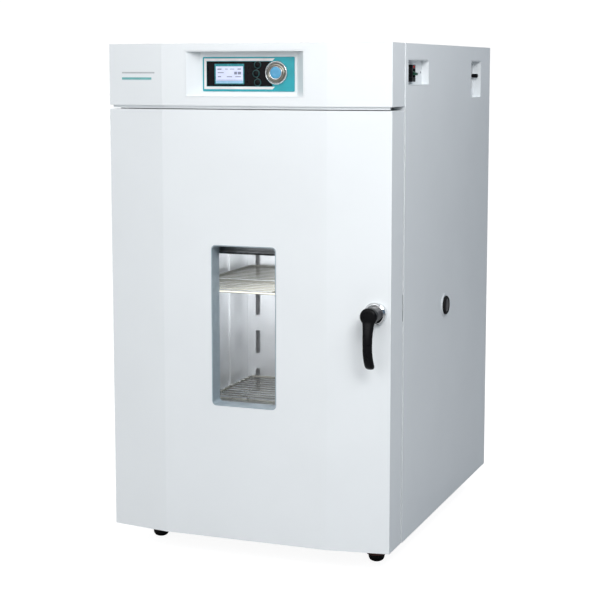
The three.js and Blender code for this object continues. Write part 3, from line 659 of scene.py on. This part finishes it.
def handle_rose(finishes):
    """Chromed rose with a stepped rim and a back that follows the slanted facet."""
    x, y, z = limits("handle_escutcheon")
    centre = (middle(x), middle(z))
    radius = half(x)
    front = y[0]
    back = 0.3
    bm = bmesh.new()
    profile = profile_of(
        (0, front, 0),
        (radius - 3.6, front, 0.6),
        (radius - 2.4, front + 1.4, 0.6),
        (radius, front + 2.6, 0.8),
        (radius, back, 0),
        (0, back, 0),
    )
    lathe(bm, "y", centre, profile, 72)
    for vertex in bm.verts:
        if abs(vertex.co.y - back) < 1e-6:
            vertex.co.y = facet_y(vertex.co.x) + back
    add_piece("handle_rose", bm, [finishes["chrome"]], "door", ["handle_escutcheon"])


def handle_lever(finishes):
    """Black lever: a hub and a round head, and an arm that hangs down and bows outwards."""
    rose_x, rose_y, rose_z = limits("handle_escutcheon")
    x, z = middle(rose_x), middle(rose_z)
    head_front = -60
    head_rear = -44
    bm = bmesh.new()
    head = profile_of(
        (0, head_front, 0),
        (15, head_front + 0.4, 2),
        (18.5, head_front + 4, 2),
        (18.5, head_rear, 0.8),
        (17, head_rear + 1.2, 0),
        (0, head_rear + 1.2, 0),
    )
    lathe(bm, "y", (x, z), head, 64, slot=0)
    # the hub is drawn dark grey, lighter than the black head
    hub = profile_of(
        (0, head_rear, 0),
        (16, head_rear, 0),
        (16, rose_y[0] - 2.2, 1),
        (15, rose_y[0] - 0.4, 0),
        (0, rose_y[0] - 0.4, 0),
    )
    lathe(bm, "y", (x, z), hub, 64, slot=1)
    # place of the section's middle as (y, drop below the axis), half width, half thickness
    stations = [
        (-52.5, -4, 14.3, 5.2),
        (-54.0, 10, 13.6, 5.4),
        (-56.0, 20, 11.9, 5.7),
        (-58.2, 32, 10.9, 6.0),
        (-60.2, 45, 10.4, 6.2),
        (-60.6, 58.5, 10.2, 6.3),
        (-59.6, 71, 10.2, 6.3),
        (-57.0, 82.5, 10.2, 6.3),
        (-52.6, 93, 10.3, 6.2),
        (-46.8, 102, 10.4, 6.0),
        (-42.6, 107, 9.9, 5.4),
        (-40.4, 109.5, 8.0, 4.0),
    ]
    sections = []
    for i, (y, drop, half_width, half_depth) in enumerate(stations):
        before = stations[max(i - 1, 0)]
        after = stations[min(i + 1, len(stations) - 1)]
        along = Vector((0, after[0] - before[0], before[1] - after[1])).normalized()
        outward = Vector((1, 0, 0)).cross(along)
        middle_point = Vector((x, y, z - drop))
        section = []
        for k in range(28):
            angle = 2 * pi * k / 28
            wide = abs(cos(angle)) ** 0.78 * (1 if cos(angle) > 0 else -1)
            deep = abs(sin(angle)) ** 0.78 * (1 if sin(angle) > 0 else -1)
            across = Vector((wide * half_width, 0, 0))
            section.append(middle_point + across + outward * deep * half_depth)
        sections.append(section)
    loft(bm, sections)
    add_piece(
        "lever",
        bm,
        [finishes["black_plastic"], finishes["dark_grey"]],
        "handle",
        ["handle_lever"],
        crease=50,
    )


# ------------------------------------------------------------------------------------------------
# Controls
# ------------------------------------------------------------------------------------------------

KEYS = ["key_upper", "key_middle", "key_lower"]


def control_label(finishes):
    """Printed label: teal ground, a pale band on three sides and a black field for the screen."""
    x, y, z = limits("control_overlay")
    screen_x, _, screen_z = limits("display_module")
    ring_x, _, ring_z = limits("dial_ring")
    dial = (middle(ring_x), middle(ring_z))
    key_holes = []
    for name in KEYS:
        key_x, _, key_z = limits(name)
        key_holes.append(circle((middle(key_x), middle(key_z)), half(key_x) + 0.4, 32))
    screen_hole = rectangle(shrink(screen_x, -0.3), shrink(screen_z, -0.3), 0.6)
    dial_hole = circle(dial, half(ring_x) + 0.3, 64)
    flat_piece(
        "label_ground",
        [rectangle(x, z, 3), screen_hole, dial_hole, *key_holes],
        y,
        finishes["teal_label"],
        "cabinet",
        ["control_overlay"],
    )
    # the black field stops against the dial, and the pale band runs round its other three sides
    field_left, field_right = x[0] + 9.5, dial[0] - 8
    field_low, field_high = z[0] + 11, z[1] - 9.5
    front = (y[0] - 0.15, y[0] - 0.02)
    reach = half(ring_x) + 1.2
    bite = []
    for i in range(13):
        angle = radians(245 - 130 * i / 12)
        bite.append(Vector((dial[0] + reach * cos(angle), dial[1] + reach * sin(angle))))
    black = [
        Vector((field_left, field_low)),
        Vector((field_right, field_low)),
        *bite,
        Vector((field_right, field_high)),
        Vector((field_left, field_high)),
    ]
    flat_piece(
        "label_field", [black, screen_hole, *key_holes], front, finishes["black_print"], "cabinet"
    )
    band = 5.5
    gap = 0.8
    tip = dial[0] - 4
    pale = [
        Vector((field_left - gap, field_high + gap)),
        Vector((tip - band, field_high + gap)),
        Vector((tip, field_high + gap + band)),
        Vector((field_left - gap - band, field_high + gap + band)),
        Vector((field_left - gap - band, field_low - gap - band)),
        Vector((tip - band, field_low - gap - band)),
        Vector((tip, field_low - gap)),
        Vector((field_left - gap, field_low - gap)),
    ]
    flat_piece("label_band", [pale], front, finishes["cream_print"], "cabinet")


def display(finishes):
    """Liquid-crystal module: teal surround, pale face and plain bars where the readings stand."""
    x, y, z = limits("display_module")
    bm = bmesh.new()
    prism(bm, "y", rectangle(x, z, 0.8), (y[0] - 0.2, y[1]))
    add_piece(
        "display_case", bm, [finishes["screen_border"]], "cabinet", ["display_module"]
    )
    face_x = shrink(x, 2.6)
    face_z = (z[0] + 1.8, z[1] - 5.2)
    front = y[0] - 0.2
    flat_piece(
        "display_face",
        [rectangle(face_x, face_z, 0.5)],
        (front - 0.15, front),
        finishes["screen_plastic"],
        "cabinet",
    )
    width = face_x[1] - face_x[0]
    height = face_z[1] - face_z[0]
    # place and size of each bar as shares of the face: left, bottom, width, height
    readings = [
        (0.06, 0.80, 0.15, 0.07),
        (0.34, 0.82, 0.10, 0.04),
        (0.52, 0.82, 0.16, 0.04),
        (0.80, 0.81, 0.13, 0.06),
        (0.07, 0.60, 0.22, 0.05),
        (0.68, 0.52, 0.10, 0.16),
        (0.81, 0.52, 0.12, 0.16),
        (0.07, 0.36, 0.12, 0.06),
        (0.40, 0.36, 0.20, 0.05),
        (0.72, 0.36, 0.20, 0.05),
        (0.02, 0.17, 0.96, 0.03),
    ]
    bm = bmesh.new()
    for left, bottom, wide, tall in readings:
        bar_x = (face_x[0] + left * width, face_x[0] + (left + wide) * width)
        bar_z = (face_z[0] + bottom * height, face_z[0] + (bottom + tall) * height)
        prism(bm, "y", rectangle(bar_x, bar_z, 0.2, 1), (front - 0.22, front - 0.1))
    add_piece("display_readings", bm, [finishes["screen_bar"]], "cabinet")
    bm = bmesh.new()
    foot_z = (face_z[0] + 0.3, face_z[0] + height * 0.14)
    foot_x = shrink(face_x, 0.4)
    prism(bm, "y", rectangle(foot_x, foot_z, 0.2, 1), (front - 0.22, front - 0.1))
    add_piece("display_foot", bm, [finishes["screen_foot"]], "cabinet")


def control_keys(finishes):
    """Three round keys with a thin rim and a crowned cap."""
    for name in KEYS:
        x, y, z = limits(name)
        centre = (middle(x), middle(z))
        radius = half(x)
        bm = bmesh.new()
        rim = profile_of(
            (radius - 1.6, y[0] + 0.5, 0),
            (radius - 1.4, y[0] + 0.2, 0.2),
            (radius - 0.2, y[0] + 0.4, 0.3),
            (radius, y[0] + 1.4, 0.3),
            (radius, y[1], 0),
            (radius - 1.6, y[1], 0),
            steps=2,
        )
        lathe(bm, "y", centre, rim, 32, closed=True, slot=1)
        cap = profile_of(
            (0, y[0], 0),
            (radius * 0.5, y[0] + 0.15, 1),
            (radius - 1.8, y[0] + 0.8, 0.4),
            (radius - 1.8, y[1], 0),
            (0, y[1], 0),
            steps=3,
        )
        lathe(bm, "y", centre, cap, 32, slot=0)
        add_piece(
            name + "_cap",
            bm,
            [finishes["black_plastic"], finishes["key_rim"]],
            name,
            [name],
        )


def dial_set(finishes):
    """Fixed ring, fluted jog wheel and blue push button on one axis."""
    x, y, z = limits("dial_ring")
    centre = (middle(x), middle(z))
    outer = half(x)
    inner = half(limits("jog_dial")[0])
    bm = bmesh.new()
    profile = profile_of(
        (inner + 1.8, y[1], 0),
        (inner + 1.8, y[0] + 0.8, 0.3),
        (inner + 2.4, y[0], 0.4),
        (outer - 1.2, y[0], 0.8),
        (outer, y[0] + 2, 0.8),
        (outer, y[1], 0),
    )
    lathe(bm, "y", centre, profile, 72, closed=True)
    add_piece("dial_surround", bm, [finishes["chrome"]], "cabinet", ["dial_ring"])

    x, y, z = limits("jog_dial")
    button = half(limits("dial_button")[0])
    bm = bmesh.new()
    profile = profile_of(
        (button + 0.3, y[1], 0),
        (button + 0.3, y[0] + 0.8, 0.3),
        (button + 1.4, y[0], 0.4),
        (inner - 1.6, y[0] + 0.5, 0.5),
        (inner, y[0] + 2, 0.5),
        (inner, y[1], 0),
    )
    lathe(bm, "y", centre, profile, 96, closed=True, flutes=24, flute_depth=0.5)
    add_piece("jog_wheel", bm, [finishes["satin_chrome"]], "jog_dial", ["jog_dial"])

    x, y, z = limits("dial_button")
    bm = bmesh.new()
    cap = profile_of(
        (0, y[0] + 1.0, 0),
        (7, y[0] + 0.5, 1.5),
        (button - 3.2, y[0] + 0.9, 0.6),
        (button - 2.6, y[0] + 2.0, 0),
        (button - 2.6, y[1], 0),
        (0, y[1], 0),
    )
    lathe(bm, "y", centre, cap, 64, slot=0)
    collar = profile_of(
        (button - 2.5, y[1], 0),
        (button - 2.5, y[0] + 1.4, 0.3),
        (button - 1.2, y[0] + 1.2, 0.4),
        (button, y[0] + 3.5, 0.4),
        (button, y[1], 0),
    )
    lathe(bm, "y", centre, collar, 64, closed=True, slot=1)
    add_piece(
        "dial_cap",
        bm,
        [finishes["blue_plastic"], finishes["chrome"]],
        "dial_button",
        ["dial_button"],
    )


def fascia_strip(finishes):
    """Two plain printed bars on the fascia's left facet."""
    for name, finish, span_x, span_z in [
        ("strip_upper", "mark_grey", (-292, -207), (1014.5, 1017.5)),
        ("strip_lower", "mark_teal", (-292, -215), (1001, 1006)),
    ]:
        bm = bmesh.new()
        prism(bm, "y", rectangle(span_x, span_z, 0.5, 1), (-0.2, 0.2))
        for vertex in bm.verts:
            vertex.co.y += facet_y(vertex.co.x)
        add_piece(name, bm, [finishes[finish]], "cabinet")


# ------------------------------------------------------------------------------------------------
# Side fittings
# ------------------------------------------------------------------------------------------------


def power_switch(finishes):
    """Breaker-style switch: recessed housing, red lens and the toggle's paddle."""
    x, y, z = limits("switch_body")
    face = x[1]
    bm = bmesh.new()
    window_y = (y[0] + 7, y[1] - 4)
    window_z = shrink(z, 9)
    wall = 0.8
    frame_parts = [
        ((y[0], y[1]), (z[0], window_z[0])),
        ((y[0], y[1]), (window_z[1], z[1])),
        ((y[0], window_y[0]), window_z),
        ((window_y[1], y[1]), window_z),
    ]
    for part_y, part_z in frame_parts:
        prism(bm, "x", rectangle(part_y, part_z, wall, 2), (x[0], face), edge=0.4)
    prism(bm, "x", rectangle(window_y, window_z, 0.3, 1), (x[0], face - 8))
    add_piece(
        "switch_housing", bm, [finishes["black_plastic"]], "cabinet", ["switch_body"]
    )

    bm = bmesh.new()
    lens_y = (y[0] + 9, y[1] - 7)
    lens_z = (z[1] - 7, z[1] - 2)
    prism(bm, "x", rectangle(lens_y, lens_z, 1.2), (face - 2, face + 0.8), edge=0.5)
    add_piece("switch_lens", bm, [finishes["red_lens"]], "cabinet")

    toggle_y = limits("power_toggle")[1]
    bm = bmesh.new()
    axis = (face - 3, middle(z))
    tilt = Matrix.Rotation(radians(12), 4, "Y")
    corners = [(-2.5, -3.5, 1), (10.5, -2.6, 1.6), (10.5, 2.6, 1.6), (-2.5, 3.5, 1)]
    sweep = rounded(corners, closed=True)
    stations = [
        (toggle_y[0], 0.92),
        (toggle_y[0] + 0.6, 1),
        (toggle_y[1] - 0.6, 1),
        (toggle_y[1], 0.92),
    ]
    rings = []
    for along, scale in stations:
        ring = []
        for u, v in sweep:
            point = tilt @ Vector((4 + (u - 4) * scale, 0, v * scale))
            ring.append(bm.verts.new((axis[0] + point.x, along, axis[1] + point.z)))
        rings.append(ring)
    for first, second in zip(rings, rings[1:]):
        bridge(bm, first, second)
    bm.faces.new(rings[0])
    bm.faces.new(rings[-1])
    rod(bm, "y", axis, 4.5, toggle_y, 24)
    add_piece(
        "toggle_paddle", bm, [finishes["green_plastic"]], "power_toggle", ["power_toggle"]
    )


def damper_knob(finishes):
    """Vent slider: waisted knob, stem and shutter plate."""
    x, y, z = limits("damper_slider")
    floor = limits("damper_pocket")[0][0] + POCKET_SHEET
    axis = (middle(y), middle(z))
    bm = bmesh.new()
    knob = profile_of(
        (0, x[1], 0),
        (3.6, x[1] - 0.2, 0.8),
        (5, x[1] - 1.6, 0.8),
        (4.4, x[1] - 5, 1),
        (5, floor + 2.6, 0.8),
        (4.6, floor + 1.2, 0),
        (0, floor + 1, 0),
    )
    lathe(bm, "x", axis, knob, 32, slot=0)
    rod(bm, "x", axis, 2.5, (x[0] + 1, floor + 1.5), 16)
    plate = rectangle((y[0], y[1]), (z[0], z[1]), 1.5, 2)
    prism(bm, "x", plate, (x[0], x[0] + 3), edge=0.3)
    add_piece(
        "vent_knob", bm, [finishes["black_plastic"]], "damper_slider", ["damper_slider"]
    )


def access_port(finishes):
    """Painted sleeve with a rolled flange, and a rubber stopper with a dished face."""
    x, y, z = limits("port_sleeve")
    axis = (middle(y), middle(z))
    flange = half(y)
    bore = 20
    neck = 23
    shell = limits("outer_shell")[0][1] + 0.3
    bm = bmesh.new()
    sleeve = profile_of(
        (bore, x[0], 0),
        (neck, x[0], 0),
        (neck, shell, 0),
        (flange, shell, 0),
        (flange - 0.3, x[1] - 0.2, 1.2),
        (bore + 1, x[1], 0.8),
        (bore, x[1] - 1, 0.4),
    )
    lathe(bm, "x", axis, sleeve, 72, closed=True)
    add_piece("port_flange", bm, [finishes["pale_paint"]], "cabinet", ["port_sleeve"])

    x, y, z = limits("port_stopper")
    rim = half(y)
    outside = limits("outer_shell")[0][1] + 3
    bm = bmesh.new()
    stopper = profile_of(
        (0, x[0], 0),
        (rim - 4, x[0], 1.5),
        (rim - 1.8, outside, 0),
        (rim, outside, 0),
        (rim, x[1] - 2, 1.4),
        (rim - 4, x[1], 1.2),
        (rim - 6.5, x[1] - 1.6, 0.8),
        (rim - 9, x[1] - 1.6, 0.8),
        (rim - 12, x[1] - 0.4, 0.8),
        (0, x[1] - 0.2, 0),
    )
    lathe(bm, "x", axis, stopper, 64)
    for face in bm.faces:
        centre = face.calc_center_median()
        if centre.x > outside and (centre.yz - Vector(axis)).length < rim - 6.5:
            face.material_index = 1
    finish = [finishes["dark_rubber"], finishes["dark_grey"]]
    add_piece("port_bung", bm, finish, "port_stopper", ["port_stopper"])


# ------------------------------------------------------------------------------------------------
# Chamber, door seal and feet
# ------------------------------------------------------------------------------------------------


def wire_shelf(finishes, name):
    """Shelf of welded round wire: a frame and a centre rod, with thin wires from side to side."""
    x, y, z = limits(name)
    frame_radius = 3
    wire_radius = 1.5
    spaces = 18
    crossbar = 7
    level = z[0] + frame_radius
    inner_y = shrink(y, frame_radius)
    bm = bmesh.new()
    outline = rectangle(shrink(x, frame_radius), inner_y, 9)
    sides = 10
    rings = []
    for point, outward in with_outward(outline):
        ring = []
        for k in range(sides):
            angle = 2 * pi * k / sides
            reach = point + outward * frame_radius * cos(angle)
            ring.append(bm.verts.new((reach.x, reach.y, level + frame_radius * sin(angle))))
        rings.append(ring)
    close_loop(bm, rings)
    rod(bm, "y", (0, level), frame_radius, inner_y)
    pitch = (inner_y[1] - inner_y[0]) / spaces
    for i in range(1, spaces):
        place = inner_y[0] + i * pitch
        if i == crossbar:
            rod(bm, "x", (place, level), frame_radius, shrink(x, 2))
        else:
            rod(bm, "x", (place, z[1] - wire_radius), wire_radius, shrink(x, 1), 8)
    add_piece(
        name + "_wires", bm, [finishes["bright_wire"]], name, [name], crease=60
    )


def seal(finishes):
    """Door gasket with a domed section, run round the chamber's mouth."""
    x, y, z = limits("door_gasket")
    section = 12
    rise_side = [(0, 0), (0.2, 0.45), (1.6, 0.8), (4, 0.97)]
    fall_side = [(8, 0.97), (10.4, 0.8), (11.8, 0.45), (12, 0)]
    arc = [*rise_side, (6, 1), *fall_side]
    bm = bmesh.new()
    rings = []
    steps = 6
    inner_x = shrink(x, section)
    inner_z = shrink(z, section)
    outline = rectangle(inner_x, inner_z, 8, steps)
    for point, outward in with_outward(outline):
        ring = []
        for across, rise in arc:
            reach = point + outward * across
            ring.append(bm.verts.new((reach.x, y[0] + (y[1] - y[0]) * rise, reach.y)))
        rings.append(ring)
    close_loop(bm, rings)
    add_piece(
        "door_seal", bm, [finishes["pale_gasket"]], "door", ["door_gasket"], crease=50
    )


def pane_lip_painted_shade(finishes):
    """Rubber lip round the window's opening in the door liner, against the inner pane, drawn black as
    painted shade: a dark strip for the shadow line under the opening's top edge.
    """
    lip = 4
    pane_y = limits("window_glass_inner")[1]
    x = shrink(LINER_OPENING_X, 0.2)
    z = shrink(LINER_OPENING_Z, 0.2)
    # painted shade: this black strip stands in for the shadow line along the opening's edge
    flat_piece(
        "pane_lip_painted_shade",
        [rectangle(x, z, 13.8), rectangle(shrink(x, lip), shrink(z, lip), 10)],
        (pane_y[1] + 0.1, pane_y[1] + 4),
        finishes["dark_rubber"],
        "door",
    )


def feet(finishes):
    """Rubber foot with a stepped dome, and the knurled wheel that levels it. The wheel's dark red-brown
    is painted shade for the shaded underside seen beside each foot.
    """
    for place in ["front_left", "front_right", "rear_left", "rear_right"]:
        x, y, z = limits("foot_pad_" + place)
        axis = (middle(x), middle(y))
        radius = half(x)
        bottom, top = z
        bm = bmesh.new()
        pad = profile_of(
            (0, bottom, 0),
            (radius * 0.5, bottom, 0.8),
            (radius * 0.78, bottom + 2.5, 1.5),
            (radius * 0.95, bottom + 7, 2),
            (radius, bottom + 12, 1.5),
            (radius * 0.92, top, 0.5),
            (0, top, 0),
        )
        lathe(bm, "z", axis, pad, 48)
        add_piece(
            "foot_dome_" + place,
            bm,
            [finishes["dark_rubber"]],
            "cabinet",
            ["foot_pad_" + place],
        )

        x, y, z = limits("foot_adjuster_" + place)
        wheel = half(x)
        wheel_top = z[0] + 8.7
        stem = 6
        bm = bmesh.new()
        adjuster = profile_of(
            (0, z[0], 0),
            (wheel - 1.5, z[0], 0.4),
            (wheel, z[0] + 1.5, 0.4),
            (wheel, wheel_top - 1.5, 0.4),
            (wheel - 1.5, wheel_top, 0.4),
            (stem, wheel_top, 0),
            (stem, z[1], 0),
            (0, z[1], 0),
            steps=2,
        )
        lathe(bm, "z", axis, adjuster, 72, flutes=18, flute_depth=0.7)
        # the wheel's red-brown colour is painted shade, not a plating
        add_piece(
            "foot_wheel_" + place,
            bm,
            [finishes["brown_zinc"]],
            "cabinet",
            ["foot_adjuster_" + place],
        )


def probe(finishes):
    """Sheathed sensor with a rounded tip and a gland."""
    x, y, z = limits("temperature_probe")
    axis = (middle(x), middle(z))
    gland = half(x)
    duct = limits("duct_panel")[1][0]
    sheath = 3
    bm = bmesh.new()
    profile = profile_of(
        (0, y[0], 0),
        (sheath, y[0] + 1, 1.5),
        (sheath, duct - 6, 0),
        (gland, duct - 6, 0.8),
        (gland, duct - 0.3, 0),
        (sheath, duct - 0.3, 0),
        (sheath, y[1], 0),
        (0, y[1], 0),
    )
    lathe(bm, "y", axis, profile, 24)
    add_piece("sensor", bm, [finishes["chrome"]], "cabinet", ["temperature_probe"])


# ------------------------------------------------------------------------------------------------
# Fasteners and the rear
# ------------------------------------------------------------------------------------------------


def rear_fittings(finishes):
    """Cover screws, louvre hoods and the mains inlet on the back panel."""
    x, y, z = limits("back_panel")
    face = y[1]
    bm = bmesh.new()
    inset = 12
    for i in range(6):
        height = z[0] + inset + (z[1] - z[0] - 2 * inset) * i / 5
        for side in shrink(x, inset):
            screw(bm, "y", (side, height), face, 1)
    for i in range(1, 4):
        across = x[0] + inset + (x[1] - x[0] - 2 * inset) * i / 4
        for height in shrink(z, inset):
            screw(bm, "y", (across, height), face, 1)
    add_piece("back_screws", bm, [finishes["satin_steel"]], "cabinet")

    bm = bmesh.new()
    slot_length = 90
    slot_height = 4
    lowest_slot = 930
    slot_pitch = 14
    # share of the hood's length, and how far it stands out there
    hood = [(0, 0.0), (0.05, 2.0), (0.12, 2.9), (0.88, 2.9), (0.95, 2.0), (1, 0.0)]
    for side in (-150, 150):
        for i in range(6):
            top = lowest_slot + i * slot_pitch + slot_height + 1
            rings = []
            for share, rise in hood:
                across = side - slot_length / 2 - 3 + (slot_length + 6) * share
                reach = max(rise, 0.15)
                rings.append(
                    [
                        bm.verts.new((across, face, top + 1)),
                        bm.verts.new((across, face + reach * 0.7, top - 0.5)),
                        bm.verts.new((across, face + reach, top - 5)),
                        bm.verts.new((across, face + reach * 0.75, top - 5.2)),
                        bm.verts.new((across, face + reach * 0.4, top - 1.5)),
                        bm.verts.new((across, face, top)),
                    ]
                )
            for first, second in zip(rings, rings[1:]):
                bridge(bm, first, second)
            bm.faces.new(rings[0])
            bm.faces.new(rings[-1])
    add_piece("louvre_hoods", bm, [finishes["pale_paint"]], "cabinet")

    x, y, z = limits("power_inlet")
    shroud_x = shrink(x, 8)
    shroud_z = shrink(z, 4)
    bm = bmesh.new()
    outer = rectangle(x, z, 3, 4)
    inner = rectangle(shrink(shroud_x, 3), shrink(shroud_z, 3), 3, 4)
    mouth_x = shrink(shroud_x, 2.4)
    mouth_z = shrink(shroud_z, 2.4)
    mouth = rectangle(mouth_x, mouth_z, 3.6, 4)
    rim = rectangle(shrink(x, 0.6), shrink(z, 0.6), 2.6, 4)
    rings = []
    for outline, depth in [
        (inner, face - 9),
        (inner, y[1] - 0.6),
        (mouth, y[1]),
        (rim, y[1]),
        (outer, y[1] - 0.6),
        (outer, face + 0.3),
        (rectangle(shroud_x, shroud_z, 3, 4), face + 0.3),
        (rectangle(shroud_x, shroud_z, 3, 4), y[0]),
    ]:
        rings.append([bm.verts.new((point.x, depth, point.y)) for point in outline])
    for first, second in zip(rings, rings[1:]):
        bridge(bm, first, second)
    bm.faces.new(rings[0])
    bm.faces.new(rings[-1])
    add_piece(
        "inlet_shroud", bm, [finishes["black_plastic"]], "cabinet", ["power_inlet"]
    )
    bm = bmesh.new()
    centre_x, centre_z = middle(x), middle(z)
    for across, up in [(-7, -2), (7, -2), (0, 3)]:
        pin_x = (centre_x + across - 1, centre_x + across + 1)
        pin_z = (centre_z + up - 2, centre_z + up + 2)
        pin = rectangle(pin_x, pin_z, 0.4, 2)
        prism(bm, "y", pin, (face - 9.5, face + 1), edge=0.4)
    add_piece("inlet_pins", bm, [finishes["chrome"]], "cabinet")


def small_screws(finishes):
    """Screws of the hinges, the strike, the duct panel and the side pockets."""
    bm = bmesh.new()
    _, top_y, top_z = limits("top_hinge")
    for across in (-286, -228, -171):
        screw(bm, "y", (across, top_z[1] - 14), top_y[1] - 1.6, -1, 3)
    low_x, _, low_z = limits("bottom_hinge")
    for along in (112, 138, 164):
        screw(bm, "z", (middle(low_x), along), low_z[0], -1, 3)
    strike_x, strike_y, strike_z = limits("strike_plate")
    for height in shrink(strike_z, 8):
        screw(bm, "y", (middle(strike_x), height), strike_y[0] + 0.6, -1, 2.2)
    add_piece("hardware_screws", bm, [finishes["satin_steel"]], "cabinet")

    bm = bmesh.new()
    duct_x, duct_y, duct_z = limits("duct_panel")
    for across in shrink(duct_x, 12):
        for i in range(3):
            height = duct_z[0] + 40 + (duct_z[1] - duct_z[0] - 80) * i / 2
            screw(bm, "y", (across, height), duct_y[0], -1, 3)
    add_piece("duct_screws", bm, [finishes["chrome"]], "cabinet")

    bm = bmesh.new()
    pocket_x, pocket_y, pocket_z = limits("switch_pocket")
    for along in shrink(pocket_y, 12):
        screw(bm, "x", (along, middle(pocket_z)), pocket_x[0] + POCKET_SHEET, 1, 2.6)
    pocket_x, pocket_y, pocket_z = limits("damper_pocket")
    for height in shrink(pocket_z, 10):
        screw(bm, "x", (pocket_y[0] + 14, height), pocket_x[0] + POCKET_SHEET, 1, 2.6)
    add_piece("pocket_screws", bm, [finishes["satin_steel"]], "cabinet")


# ------------------------------------------------------------------------------------------------
# Assembly
# ------------------------------------------------------------------------------------------------


def main():
    scene.view_settings.view_transform = "Standard"
    make_camera()
    make_world()
    make_floor()
    make_lights()
    finishes = make_materials()
    dress_nodes(finishes)
    makers = [handle_rose, handle_lever, control_label, display, control_keys, dial_set, fascia_strip]
    makers += [power_switch, damper_knob, access_port]
    for make in makers:
        make(finishes)
    for name in ["shelf_lower", "shelf_upper"]:
        wire_shelf(finishes, name)
    # the black lip round the window's opening is painted shade, a strip for the shadow line under its
    # top edge
    for make in [seal, pane_lip_painted_shade, feet, probe, rear_fittings, small_screws]:
        make(finishes)


main()
